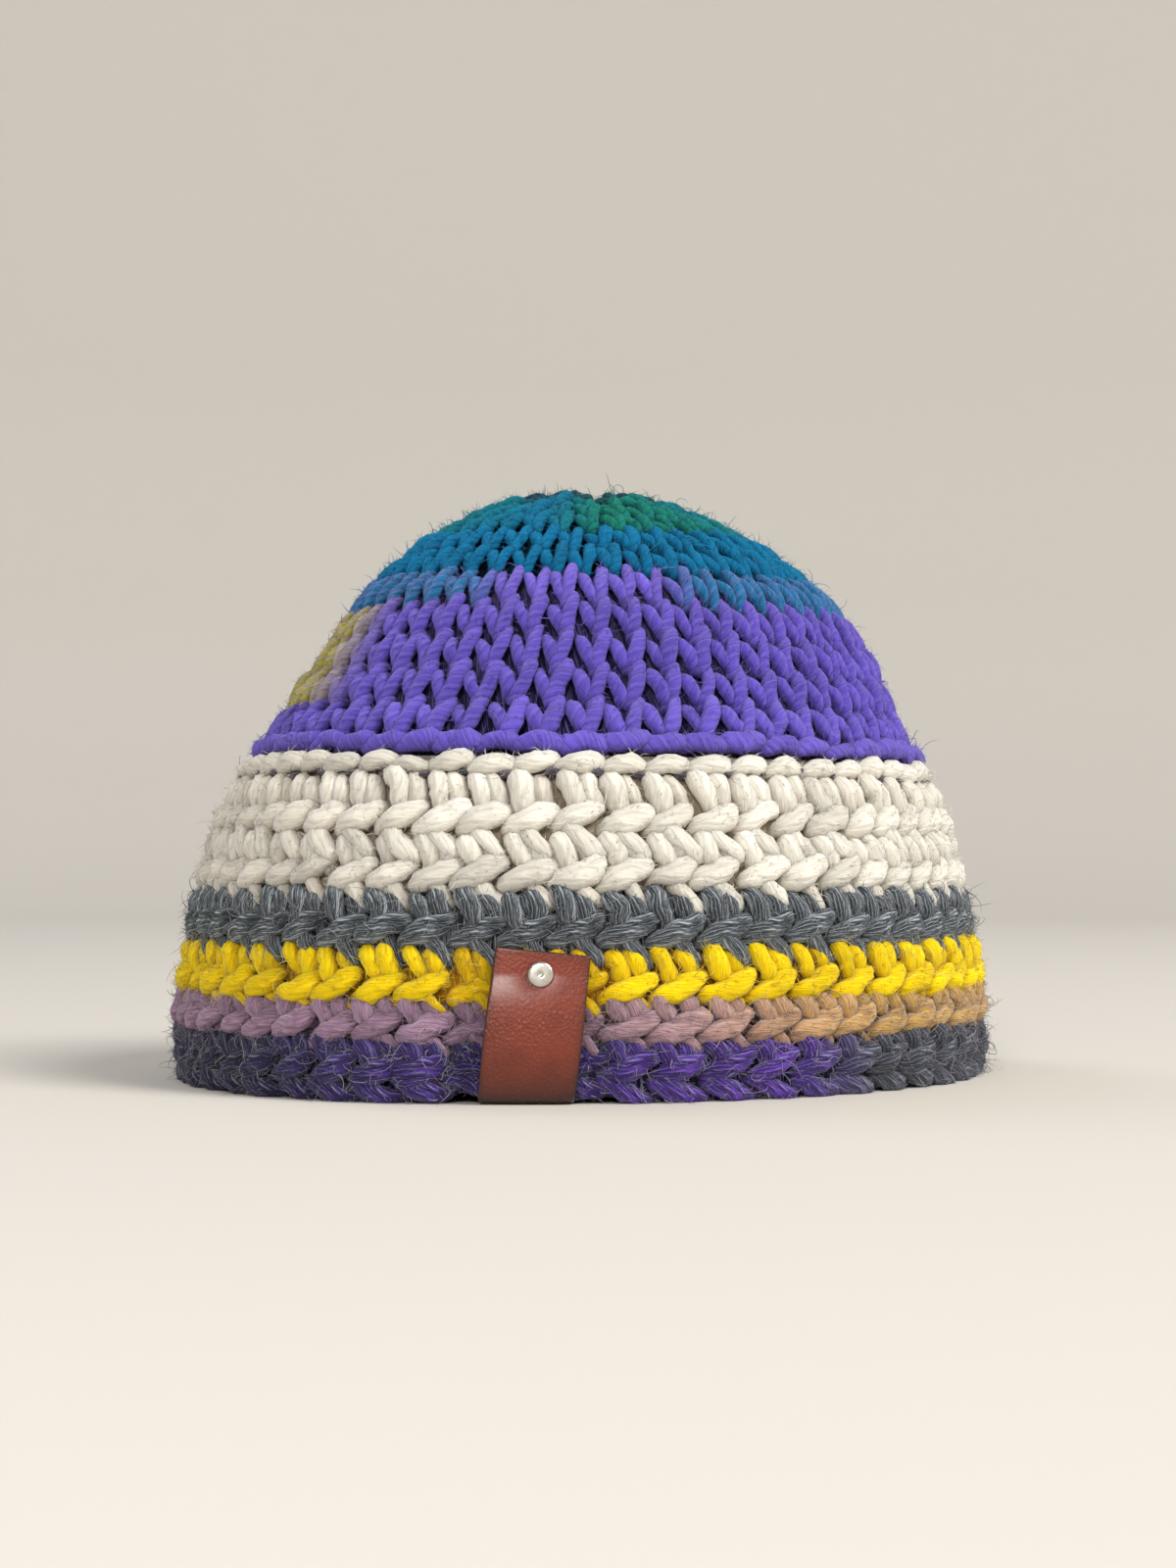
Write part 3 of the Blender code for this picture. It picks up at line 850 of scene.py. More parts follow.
def loose_fibres(groups, count, length, lift, curl, rings, thickness, tint, paleness):
    """Closed three-sided spikes that stand off the strands.

    Length is in metres, lift is how steeply they leave the yarn, curl is the most they turn in one step, and
    paleness is how far their colour goes from the yarn's to the tint.
    """
    point, normal, along, colour = fibre_roots(groups, count)
    around = unit(np.cross(normal, along))
    heading = varied(count, 0, 2 * math.pi)
    sideways = along * np.cos(heading) + around * np.sin(heading)
    point = point - normal * 3 * FIBRE_RADIUS + sideways * varied(count, 0, ROOT_SPREAD)
    way = unit(normal * lift * varied(count, *LIFTS) + sideways)
    axis = unit(np.cross(normal, sideways) + LEAN * fibre_rng.normal(size=(count, 3)))
    angle = curl * varied(count, *CURLS)
    step = length * varied(count, *LENGTHS) / rings
    corners = []
    for ring in range(rings):
        right = unit(np.cross(way, axis + NOT_ALONG))
        up = np.cross(way, right)
        thin = FIBRE_RADIUS * thickness * (1 - TAPER * ring / rings)
        for side in range(3):
            spoke = 2 * math.pi * side / 3
            corners.append(point + (right * math.cos(spoke) + up * math.sin(spoke)) * thin)
        point = point + way * step
        way = unit(turned(way, axis, angle) + WANDER * fibre_rng.normal(size=(count, 3)))
    points = np.stack([*corners, point], axis=1)
    points[..., 2] = np.maximum(points[..., 2], FIBRE_RADIUS)
    mix = paleness * varied(count, *PALENESS)
    colour = (colour * (1 - mix) + linear(tint) * mix) * varied(count, *BRIGHTNESS)
    faces, places = spike_faces(rings)
    stride = points.shape[1]
    places = np.broadcast_to(places, (count, *places.shape)).reshape(-1, 3, 2)
    return {
        "points": points.reshape(-1, 3),
        "faces": (faces[None] + (np.arange(count) * stride)[:, None, None]).reshape(-1, 3),
        "colour": np.repeat(colour, stride, axis=0),
        "fibre": places,
        "cell": places,
        "cells": np.repeat(np.arange(count), len(faces)),
    }


# %% The fibres' finish, and how many each stripe has
fibre_wool, fibre_tree, fibre_shader = new_material(
    "loose_wool_fibres", {"Roughness": 0.8, "Specular IOR Level": 0.25}
)
# the loose fibres take the strands' colour, painted shade included
fibre_dye_and_shade = add_node(fibre_tree, "ShaderNodeAttribute", attribute_name="dye_and_shade")
fibre_tree.links.new(fibre_dye_and_shade.outputs["Color"], fibre_shader.inputs["Base Color"])

KINDS = {
    # length, lift, curl, rings, thickness
    "long": (0.0090, 0.8, 0.95, 6, 1.35),
    "middling": (0.0045, 0.9, 0.8, 2, 1.15),
    "short": (0.0034, 0.55, 0.0, 1, 1.05),
}
LOOSE = {
    # how many long, middling and short ones, their tint, and how far they go towards it
    "rim": (1500, 2000, 6500, "#B4B6BE", 0.90),
    "mauve": (350, 1400, 5000, "#D8CAD4", 0.65),
    "yellow": (250, 1400, 6000, "#FBF08C", 0.55),
    "grey": (650, 1700, 6000, "#B6BBBF", 0.80),
    "cream": (300, 2400, 10500, "#FFFBF2", 0.70),
    "purple": (250, 2000, 10000, "#9F92E6", 0.60),
    "teal": (250, 2000, 7500, "#3FA0C4", 0.50),
}
print("loose fibres:", sum(sum(counts[:3]) for counts in LOOSE.values()))

# %% [markdown]
# ## A ribbed course
#
# Each round of a stripe is worked the same way. Along its lower edge runs a rope of slanted loops, every
# one rising to the right over the start of the next. Above each loop stand two upright knuckles, the
# front one rounder. From the rope a stem dives down to the right, between the knuckles of the round
# below.

# %% The paths of one ribbed stitch
ROPE = (
    # across, up, in from the crest, thickness
    (-0.12, -3.0, 3.2, 0.50),
    (0.08, -2.2, 1.0, 0.92),
    (0.38, -0.8, 0.3, 1.14),
    (0.68, 0.9, 0.3, 1.14),
    (0.94, 2.3, 0.8, 0.88),
    (1.08, 2.8, 2.4, 0.45),
)
# Heights as shares of the way to the next round
FRONT_KNUCKLE = (
    (0.46, 0.02, 2.4, 0.60),
    (0.38, 0.22, 1.0, 0.95),
    (0.26, 0.43, 0.4, 1.06),
    (0.14, 0.60, 0.8, 1.00),
    (0.07, 0.68, 2.4, 0.65),
)
BACK_KNUCKLE = (
    (0.88, 0.02, 3.0, 0.60),
    (0.82, 0.20, 1.9, 0.90),
    (0.70, 0.42, 1.2, 1.00),
    (0.57, 0.58, 1.5, 0.94),
    (0.49, 0.66, 3.0, 0.65),
)
STEM = (
    (0.36, 0.02, 2.6, 0.85),
    (0.50, -0.18, 1.2, 0.84),
    (0.70, -0.36, 1.0, 0.82),
    (0.87, -0.52, 1.5, 0.76),
    (0.97, -0.64, 2.8, 0.60),
)
THIN_STEM = (
    (0.36, 0.02, 2.6, 0.70),
    (0.50, -0.18, 1.2, 0.64),
    (0.70, -0.38, 1.1, 0.60),
    (0.87, -0.56, 1.6, 0.54),
    (0.97, -0.70, 2.8, 0.42),
)
LONG_STEM = (
    (0.14, -0.04, 3.0, 0.80),
    (0.30, -0.22, 0.7, 0.92),
    (0.58, -0.44, -0.2, 0.94),
    (0.84, -0.64, 0.4, 0.88),
    (0.98, -0.80, 2.4, 0.66),
)
# points along a strand and sides round it
ROPE_DETAIL = {"steps": 14, "sides": 10}
KNUCKLE_DETAIL = {"steps": 11, "sides": 8}
STEM_DETAIL = {"steps": 10, "sides": 8}
UNDER_DETAIL = {"steps": 9, "sides": 8}
EYELET_DETAIL = {"steps": 7, "sides": 6}


def stretched(rows, height):
    """A path whose heights are shares of a height, and whose depths are millimetres, in metres."""
    return [(across, up * height, depth * MM, thick) for across, up, depth, thick in rows]


def ribbed_course(course, dye_and_shade, below, above, stem=STEM, twist=TWO_PLY, radius=YARN):
    """The strands of one round, with the metres to the rounds below and above it. None leaves stems out."""
    paths = [(ROPE, MM, ROPE_DETAIL), (FRONT_KNUCKLE, above, KNUCKLE_DETAIL)]
    paths.append((BACK_KNUCKLE, above, KNUCKLE_DETAIL))
    if below:
        paths.append((stem, below, STEM_DETAIL))
    return [
        lay_strands(stretched(rows, height), course, dye_and_shade, radius=radius, twist=twist, **detail)
        for rows, height, detail in paths
    ]


print("points on the paths of a stitch:", sum(map(len, (ROPE, FRONT_KNUCKLE, BACK_KNUCKLE, STEM))))

# %% The rounds of the striped band
COURSES = {
    # share of the way up to the middle of each rope
    "edge": 0.0105,
    "rim": 0.0430,
    "mauve": 0.0910,
    "yellow": 0.1370,
    "grey": 0.2056,
    "cream_low": 0.2740,
    "cream_high": 0.3426,
    "cream_chain": 0.4110,
    "ridge": 0.4385,
}
STRIPE_ENDS = {
    # the shares between which each stripe's wall lies
    "rim": (0.0, 0.073),
    "mauve": (0.073, 0.120),
    "yellow": (0.120, 0.178),
    "grey": (0.178, 0.254),
    "cream": (0.254, 0.426),
    "purple": (0.426, 0.705),
    "teal": (0.705, 1.0),
}


def between(lower, upper):
    """Metres of fabric between two rounds."""
    return (COURSES[upper] - COURSES[lower]) * OUTSIDE_LENGTH


print("between the mauve and yellow rounds, mm:", round(between("mauve", "yellow") / MM, 1))

# %% The yarn of each stripe
YARNS = {
    # name, plies, groove in mm and its painted shade, glow, flecks, contrast of the fibres, sheen
    "mauve": ("mauve_to_tan_wool", TWO_PLY, 0.25, 0.15, "#D9C8DC",
              [("#C9BBB8", 0.25), ("#6B5560", 0.20)], 0.45, 0.45),
    "yellow": ("yellow_wool", TWO_PLY, 0.20, 0.12, "#FFF07A", [("#FBEA5C", 0.20)], 0.30, 0.45),
    "grey": ("heather_grey_wool", ONE_PLY, 0.02, 0.0, "#AEB6BC",
             [("#B9C1C8", 0.65), ("#1B1F23", 0.60)], 0.70, 0.30),
    "cream": ("undyed_cream_wool", ONE_PLY, 0.02, 0.0, "#FFFFFF", [("#CDBC9C", 0.10)], 0.22, 0.45),
    "purple": ("purple_wool", THREE_PLY, 0.36, 0.15, "#B3A8F0", [("#9282DA", 0.24)], 0.44, 0.60),
    "rim": ("marled_purple_grey_wool", ONE_PLY, 0.02, 0.0, "#A9A3C8",
            [("#8E95A0", 0.47), ("#171A28", 0.55)], 0.65, 0.30),
    "teal": ("teal_wool", THREE_PLY, 0.34, 0.15, "#2A93C4", [("#1583AE", 0.24)], 0.44, 0.45),
}
yarns = {stripe: wool(*values) for stripe, values in YARNS.items()}
print("yarns:", ", ".join(yarn.name for yarn in yarns.values()))


# %% The mauve, yellow and grey stripes
def wool_piece(stripe, groups, node):
    """All of a stripe's strands and its wall as one piece for its solid, and its loose fibres as another."""
    parts = [bundle(group) for group in groups]
    low, high = STRIPE_ENDS[stripe]
    plain = stripe in ("purple", "teal")
    parts.append(wall(low, high, stripe, PLAIN_BACK_DEPTH if plain else BACK_DEPTH))
    mesh_data = joined_mesh(f"{node}_yarn", parts)
    put_in_scene(f"{node}_yarn", mesh_data, yarns[stripe], node)
    *counts, tint, paleness = LOOSE[stripe]
    kinds = zip(counts, KINDS.values())
    halo = [loose_fibres(groups, count, *kind, tint, paleness) for count, kind in kinds]
    mesh_data = joined_mesh(f"{node}_fibres", halo)
    put_in_scene(f"{node}_fibres", mesh_data, fibre_wool)


STRIPES = (
    # stripe, the rounds below and above it, stem, plies
    ("mauve", "rim", "yellow", THIN_STEM, TWO_PLY),
    ("yellow", "mauve", "grey", THIN_STEM, TWO_PLY),
    ("grey", "yellow", "cream_low", STEM, ONE_PLY),
)
for stripe, below, above, stem, twist in STRIPES:
    to_below, to_above = between(below, stripe), between(stripe, above)
    course = ribbed_course(COURSES[stripe], stripe, to_below, to_above, stem, twist)
    wool_piece(stripe, course, f"{stripe}_stripe")

# %% [markdown]
# The cream stripe is two ribbed rounds of thicker yarn with long slanting stems between them, and a small
# chain on top. In the chain's eyelets the yarn of the next round shows, painted dark as the shade in them.

# %% The cream stripe
CHAIN = (
    (-0.12, -1.2, 2.6, 0.50),
    (0.10, -0.6, 0.9, 0.85),
    (0.45, 0.3, 0.2, 1.08),
    (0.80, 0.4, 0.5, 0.95),
    (1.04, 0.2, 2.2, 0.55),
)
EYELET = (
    (0.62, -2.2, 2.6, 0.50),
    (0.84, -2.3, 1.7, 1.00),
    (1.06, -2.1, 2.6, 0.50),
)
CHAIN_CLOSES = 1.22
CREAM_YARN = 0.00258
EYELET_YARN = 0.0008
cream_gap = between("cream_low", "cream_high")
above_cream = between("cream_high", "cream_chain") * CHAIN_CLOSES
low, high, chain = (COURSES[course] for course in ("cream_low", "cream_high", "cream_chain"))
below_cream = between("grey", "cream_low")
cream = ribbed_course(low, "cream", below_cream, cream_gap, STEM, ONE_PLY, CREAM_YARN)
cream += ribbed_course(high, "cream", cream_gap, above_cream, LONG_STEM, ONE_PLY, CREAM_YARN)
cream.append(lay_strands(stretched(CHAIN, MM), chain, "cream", twist=ONE_PLY))
cream.append(lay_strands(stretched(EYELET, MM), chain, "eyelet", radius=EYELET_YARN, **EYELET_DETAIL))
wool_piece("cream", cream, "cream_stripe")

# %% [markdown]
# The rim is a plait: its upper loops rise to the right and its lower ones fall, and a third row turns
# under, where the hat stands on it.

# %% The rim
EDGE_LOOP = (
    (-0.14, 2.8, 3.0, 0.55),
    (0.10, 2.2, 0.9, 0.90),
    (0.42, 0.7, 0.4, 1.12),
    (0.72, -0.4, 0.8, 1.05),
    (0.95, -0.8, 2.0, 0.80),
    (1.06, -0.6, 3.2, 0.55),
)
UNDER_LOOP = (
    (-0.12, 0.6, 4.4, 0.60),
    (0.15, 0.0, 4.8, 0.95),
    (0.50, -0.3, 5.0, 1.00),
    (0.85, 0.0, 5.3, 0.90),
    (1.05, 0.6, 5.6, 0.60),
)
rim = ribbed_course(COURSES["rim"], "rim", None, between("rim", "mauve"), twist=ONE_PLY)
for loop, detail in ((EDGE_LOOP, ROPE_DETAIL), (UNDER_LOOP, UNDER_DETAIL)):
    rim.append(lay_strands(stretched(loop, MM), COURSES["edge"], "rim", twist=ONE_PLY, **detail))
wool_piece("rim", rim, "rim_stripe")

# %% [markdown]
# ## Plain knitting
#
# Above the ribs the hat is plain knitting, whose stitches look like columns of V. The left leg of each V
# is short and slanting, and the right one long and nearly upright. Every leg comes up from behind the top
# of the V below. Towards the crown there are fewer stitches in a round, so the columns draw together.

# %% The paths of a V
LEFT_LEG = (
    # across, up in rows, in from the crest, thickness
    (0.56, -0.16, 2.6, 0.60),
    (0.47, 0.06, 1.1, 0.94),
    (0.30, 0.36, 0.2, 1.08),
    (0.13, 0.66, 0.6, 1.02),
    (0.02, 0.92, 2.4, 0.65),
)
RIGHT_LEG = (
    (0.57, -0.32, 1.8, 0.78),
    (0.62, 0.00, 0.4, 1.00),
    (0.70, 0.42, -0.2, 1.08),
    (0.77, 0.84, 0.0, 1.02),
    (0.80, 1.18, 1.6, 0.78),
)
PLAIN_CREST = WALL + 0.0008
PLAIN_YARN = 0.00212
V_ROWS = (
    # share of the way up, stitches, dye with its painted shade
    (0.4560, 54, "purple"),
    (0.5060, 54, "olive patch"),
    (0.5560, 54, "olive patch"),
    (0.6060, 54, "olive patch"),
    (0.6560, 54, "purple to teal"),
    (0.7060, 48, "teal"),
    (0.7520, 42, "teal"),
    (0.7960, 36, "green"),
    (0.8380, 28, "green"),
    (0.8780, 21, "green"),
    (0.9180, 14, "dark"),
    (0.9540, 7, "dark"),
    (0.9860, 7, "dark"),
)
PURPLE_ROWS = 5
# the thickest yarn that still fits, as a share of a stitch's width
YARN_FITS = 0.22
# above the purple, every second row is half a stitch further round
HALF_STITCH = 0.5
ROUND_POINTS = 73


def stitch_width(share, count):
    """Metres across one of that many stitches in a round of plain knitting."""
    turns = np.linspace(0, 2 * math.pi, ROUND_POINTS)
    ring = fabric(turns, share, WALL - YARN)
    return np.linalg.norm(np.diff(ring, axis=0), axis=1).sum() / count


def v_row(number):
    """Both legs of every V in a row."""
    share, count, dye_and_shade = V_ROWS[number]
    row = (V_ROWS[number + 1][0] - share) * OUTSIDE_LENGTH
    radius = min(PLAIN_YARN, YARN_FITS * stitch_width(share, count))
    phase = HALF_STITCH * (number % 2 if count != STITCHES else 0)
    same = {"phase": phase, "crest": PLAIN_CREST, "twist": THREE_PLY, **KNUCKLE_DETAIL}
    return [
        lay_strands(stretched(leg, row), share, dye_and_shade, count, radius, **same) for leg in (LEFT_LEG, RIGHT_LEG)
    ]


def v_rows(first, last):
    """The strands of some rows, from a first to before a last."""
    return [legs for number in range(first, last) for legs in v_row(number)]


print("a stitch of the lowest plain row, mm:", round(stitch_width(*V_ROWS[0][:2]) / MM, 1))

# %% The purple body and the teal crown
RIDGE = (
    (-0.20, -0.9, 2.4, 0.60),
    (0.10, -0.3, 1.0, 0.92),
    (0.50, 0.5, 0.5, 1.05),
    (0.90, 0.4, 0.7, 0.98),
    (1.20, -0.2, 2.2, 0.65),
)
ridge = stretched(RIDGE, MM)
purple = [lay_strands(ridge, COURSES["ridge"], "purple", twist=THREE_PLY, **ROPE_DETAIL)]
purple += v_rows(0, PURPLE_ROWS)
wool_piece("purple", purple, "purple_body")
wool_piece("teal", v_rows(PURPLE_ROWS, len(V_ROWS) - 1), "teal_crown")

# %% [markdown]
# ## The leather tag
#
# The tag is a strap of smooth cowhide, vegetable-tanned, dyed russet and rubbed with wax, folded round
# the rim. It could be a cube with a bevel, but it follows the hat's curve and folds, so it is worked out
# as two sheets of points, a leather's thickness apart, along one path: down the inside, round the rim and
# up the outside. Its cut edges are a little rounded. It is left bare.

# %% The path of the strap
FOLD_FLOOR = TAG_GAP + LEATHER / 2
BEND = FOLD_RADIUS + LEATHER / 2
FLAT_FROM = FOLD_FLOOR + BEND
INSIDE_OUT = -TAG_GAP - LEATHER / 2
OUTSIDE_OUT = WALL + TAG_GAP + LEATHER / 2
EDGE_ROUND = 0.0005
NEAR_EDGE = np.array([0.0, 0.04, 0.12, 0.25, 0.5, 0.8]) * MM
TAG_STEP = 0.0009
FLAP_ROWS = 40
# degrees round each of the two bends of the fold
BEND_ANGLES = np.linspace(10, 80, 8)


def graded(length):
    """Distances from one edge to the other, close together near both."""
    inner = np.linspace(NEAR_EDGE[-1], length - NEAR_EDGE[-1], round(length / TAG_STEP))[1:-1]
    return np.concatenate([NEAR_EDGE, inner, length - NEAR_EDGE[::-1]])


def strap_rows():
    """Each row of the strap: share of the flap's height or None, up, out, normal's out and up parts, lean."""
    near_top = 1 - NEAR_EDGE / (TAG_LENGTH - FLAT_FROM)
    flap = np.unique(np.concatenate([np.linspace(0, 1, FLAP_ROWS), near_top]))
    rows = [(share, 0, INSIDE_OUT, -1, 0, -1) for share in flap[::-1]]
    for centre, first in ((INSIDE_OUT + BEND, 180), (OUTSIDE_OUT - BEND, 270)):
        for angle in np.radians(first + BEND_ANGLES):
            out, up = math.cos(angle), math.sin(angle)
            rows.append((None, FLAT_FROM + BEND * up, centre + BEND * out, out, up, 0))
    rows += [(share, 0, OUTSIDE_OUT, 1, 0, 1) for share in flap]
    return rows


def tag_point(across, up, out):
    """Points on the tag: metres across and up from the middle of its fold, and out of the hat's inside."""
    turn = TAG_TURN + across / turn_length(TAG_TURN)
    share = np.maximum(up, 0) / FABRIC_LENGTH
    points = inside_point(turn, share) + outward(turn, share) * out[:, None]
    points[:, 2] = np.where(share > 0, np.maximum(points[:, 2], up), up)
    return points


print("rows along the strap:", len(strap_rows()))

# %% The strap's faces and colours
LEATHER_COLOUR = linear("#7A290E")
LEATHER_EDGE = linear("#1C0904")
LEATHER_FOLD_SHADE = linear("#300D04")
# how far the burnt colour of the cut edge and the painted shade of the fold reach
BURNT_REACH = 0.6 * MM
FOLD_SHADE_REACH = 6.0 * MM
RIVET_UP = (TAG_LENGTH - RIVET_FROM_TOP) * math.cos(TAG_TILT)
RIVET_ACROSS = (TAG_LENGTH - RIVET_FROM_TOP) * math.sin(TAG_TILT)
TAG_BOW = 0.0013
RIVET_DIMPLE = 0.00035
DIMPLE_REACH = 0.0036


def pulled_in(across, up):
    """How far the rivet dents the outer flap, less how far the flap bows out between rivet and fold."""
    to_rivet = np.hypot(across - RIVET_ACROSS, up - RIVET_UP)
    way_up = np.clip((up - FLAT_FROM) / (RIVET_UP - FLAT_FROM), 0, 1)
    return RIVET_DIMPLE * np.exp(-((to_rivet / DIMPLE_REACH) ** 2)) - TAG_BOW * np.sin(math.pi * way_up)


def strap_colour(up, to_edge):
    """Russet leather, with shade painted at the fold, and burnt at the cut edge."""
    burnt = np.exp(-to_edge / BURNT_REACH)[:, None]
    # painted shade where the strap rolls under at the fold
    folded = np.exp(-np.maximum(up - FOLD_FLOOR, 0) / FOLD_SHADE_REACH)[:, None]
    plain_colour = LEATHER_COLOUR * (1 - folded) + LEATHER_FOLD_SHADE * folded
    return plain_colour * (1 - burnt) + LEATHER_EDGE * burnt


def strap():
    """The points of both faces of the folded strap, and their colours."""
    half_width = TAG_WIDTH / 2 / math.cos(TAG_TILT)
    across_fold = graded(2 * half_width) - half_width
    top = (TAG_LENGTH - across_fold * math.sin(TAG_TILT)) * math.cos(TAG_TILT)
    sheets = {-1: [], 1: []}
    colours = []
    for flap, up, out, normal_out, normal_up, lean in strap_rows():
        up = np.full_like(across_fold, up) if flap is None else FLAT_FROM + (top - FLAT_FROM) * flap
        to_end = np.full_like(up, 1.0) if flap is None else top - up
        to_edge = np.minimum(half_width - np.abs(across_fold), to_end)
        rounding = np.clip(1 - to_edge / EDGE_ROUND, 0, 1)
        half = LEATHER / 2 - EDGE_ROUND * (1 - np.sqrt(1 - rounding**2))
        across = across_fold + lean * np.maximum(0.0, up - FOLD_FLOOR) * math.tan(TAG_TILT)
        pulled = pulled_in(across, up) * (lean > 0)
        for side, sheet in sheets.items():
            sheet_out = out - pulled + side * normal_out * half
            sheet.append(tag_point(across, up + side * normal_up * half, sheet_out))
        colours.append(strap_colour(up, to_edge))
    return np.stack([sheets[-1], sheets[1]]), np.stack(colours)


print("the rivet goes through, mm above the floor:", round(RIVET_UP / MM, 1))


# %% Joining the strap
def strap_bundle():
    """The strap's points joined by quads: its two faces and the edge all round."""
    sheets, colours = strap()
    _, rows, columns, _ = sheets.shape
    near, far = np.arange(2 * rows * columns).reshape(2, rows, columns)
    rim_path = [(r, 0) for r in range(rows)]
    rim_path += [(rows - 1, c) for c in range(1, columns)]
    rim_path += [(r, columns - 1) for r in range(rows - 2, -1, -1)]
    rim_path += [(0, c) for c in range(columns - 2, 0, -1)]
    rim_rows, rim_columns = np.array(rim_path).T
    near_rim, far_rim = near[rim_rows, rim_columns], far[rim_rows, rim_columns]
    after = np.arange(1, len(rim_path) + 1) % len(rim_path)
    far_faces = np.stack([far[:-1, :-1], far[:-1, 1:], far[1:, 1:], far[1:, :-1]], -1).reshape(-1, 4)
    near_faces = np.stack([near[:-1, :-1], near[1:, :-1], near[1:, 1:], near[:-1, 1:]], -1).reshape(-1, 4)
    edge_faces = np.stack([far_rim, far_rim[after], near_rim[after], near_rim], -1)
    faces = np.concatenate([far_faces, near_faces, edge_faces])
    flat = np.stack(np.meshgrid(np.linspace(0, 1, rows), np.linspace(0, 1, columns), indexing="ij"), -1)
    flat = np.broadcast_to(flat, (2, rows, columns, 2)).reshape(-1, 2)
    cell = flat[faces]
    way = np.arange(len(rim_path)) / len(rim_path)
    beyond = way + 1 / len(rim_path)
    cell[-len(edge_faces):] = corner_places((way, 0), (beyond, 0), (beyond, 1), (way, 1))
    return {
        "points": sheets.reshape(-1, 3),
        "faces": faces,
        "colour": np.broadcast_to(colours, (2, *colours.shape)).reshape(-1, 3),
        "fibre": cell,
        "cell": cell,
        "cells": np.repeat([0, 1, 2], [len(far_faces), len(near_faces), len(edge_faces)]),
    }


tag_mesh = joined_mesh("russet_leather_tag", [strap_bundle()])
print("the strap has", len(tag_mesh.polygons), "faces")

# %% Russet leather
GRAIN_MM = 0.7
GRAIN_DEPTH_MM = 0.20
DYE_CLOUD_MM = 7


def leather(name):
    """Vegetable-tanned cowhide, waxed: satin, with a fine pebbled grain, soft clouds of darker colour, and
    the fold's painted shade.
    """
    material, tree, shader = new_material(
        name, {"IOR": 1.5, "Specular IOR Level": 0.35, "Coat Weight": 0.5, "Coat Roughness": 0.22}
    )
    place = add_node(tree, "ShaderNodeNewGeometry")
    grain = add_node(
        tree, "ShaderNodeTexVoronoi", {"Scale": 1 / (GRAIN_MM * MM), "Smoothness": 0.6},
        {"Vector": place.outputs["Position"]}, feature="SMOOTH_F1",
    )
    clouds = add_node(
        tree, "ShaderNodeTexNoise", {"Scale": 1 / (DYE_CLOUD_MM * MM), "Detail": 5.0, "Roughness": 0.6},
        {"Vector": place.outputs["Position"]},
    )
    dye_and_shade = add_node(tree, "ShaderNodeAttribute", attribute_name="dye_and_shade")
    shade = add_node(
        tree, "ShaderNodeMapRange", {"From Min": 0.3, "From Max": 0.7, "To Min": 0.8, "To Max": 1.15},
        {"Value": clouds.outputs["Fac"]},
    )
    colour = add_node(
        tree, "ShaderNodeMix", {"Factor": 1.0}, {"A": dye_and_shade.outputs["Color"], "B": shade.outputs[0]}, **DARKEN
    )
    tree.links.new(colour.outputs["Result"], shader.inputs["Base Color"])
    rough = add_node(
        tree, "ShaderNodeMapRange", {"From Min": 0.2, "From Max": 0.8, "To Min": 0.34, "To Max": 0.46},
        {"Value": clouds.outputs["Fac"]},
    )
    tree.links.new(rough.outputs[0], shader.inputs["Roughness"])
    bump = add_node(
        tree, "ShaderNodeBump", {"Strength": 1.0, "Distance": GRAIN_DEPTH_MM * MM},
        {"Height": grain.outputs["Distance"]},
    )
    tree.links.new(bump.outputs["Normal"], shader.inputs["Normal"])
    return material


put_in_scene("russet_leather_tag", tag_mesh, leather("russet_cowhide"), "leather_tag")

# %% [markdown]
# ## The rivet
#
# A two-part tubular rivet in nickel-plated brass, pressed until its caps sit on the leather. The caps are
# turned shapes, so one outline goes round the rivet's own axis. The press leaves a small dent in the
# middle of the cap.

# %% The rivet
CAP = (
    # radius and height, as shares of the cap's
    (0.48, 0.0),
    (0.90, 0.0),
    (0.98, 0.14),
    (1.0, 0.40),
    (0.96, 0.68),
    (0.86, 0.88),
    (0.70, 0.97),
    (0.45, 1.0),
    (0.26, 0.98),
    (0.18, 0.86),
    (0.08, 0.74),
    (0.02, 0.72),
)
RIVET_SIDES = 40
CAP_RINGS = 40


def rivet_bundle():
    """The post and both caps, turned round the axis where the tag is pierced."""
    cap = smooth_path(CAP, CAP_RINGS)
    seat_out = WALL + 2 * TAG_GAP + LEATHER - RIVET_DIMPLE
    seat_in = -2 * TAG_GAP - LEATHER
    outer = cap * [RIVET_HEAD_RADIUS, RIVET_HEAD_HEIGHT] + [0, seat_out]
    inner = cap[::-1] * [RIVET_HEAD_RADIUS, -RIVET_HEAD_HEIGHT] + [0, seat_in]
    radius, height = np.concatenate([inner, outer]).T
    turn = np.array(TAG_TURN + RIVET_ACROSS / turn_length(TAG_TURN))
    share = np.array(RIVET_UP / FABRIC_LENGTH)
    axis = outward(turn, share)
    sideways = unit(np.cross([0, 0, 1], axis))
    above = np.cross(axis, sideways)
    angle = np.linspace(0, 2 * math.pi, RIVET_SIDES, endpoint=False)
    spokes = np.cos(angle)[:, None] * sideways + np.sin(angle)[:, None] * above
    middle = inside_point(turn, share) + height[:, None] * axis
    points = middle[:, None, :] + radius[:, None, None] * spokes[None]
    return bundle({
        "points": points[None],
        "ends": middle[None, [0, -1]],
        "colour": np.ones((1, len(height), RIVET_SIDES, 3)),
        "length": np.linspace(0, 1, len(height))[None] * MM,
    })


rivet_mesh = joined_mesh("nickel_rivet", [rivet_bundle()])
print("the rivet has", len(rivet_mesh.polygons), "faces")

# %% Nickel plate
WEAR_MM = 0.8


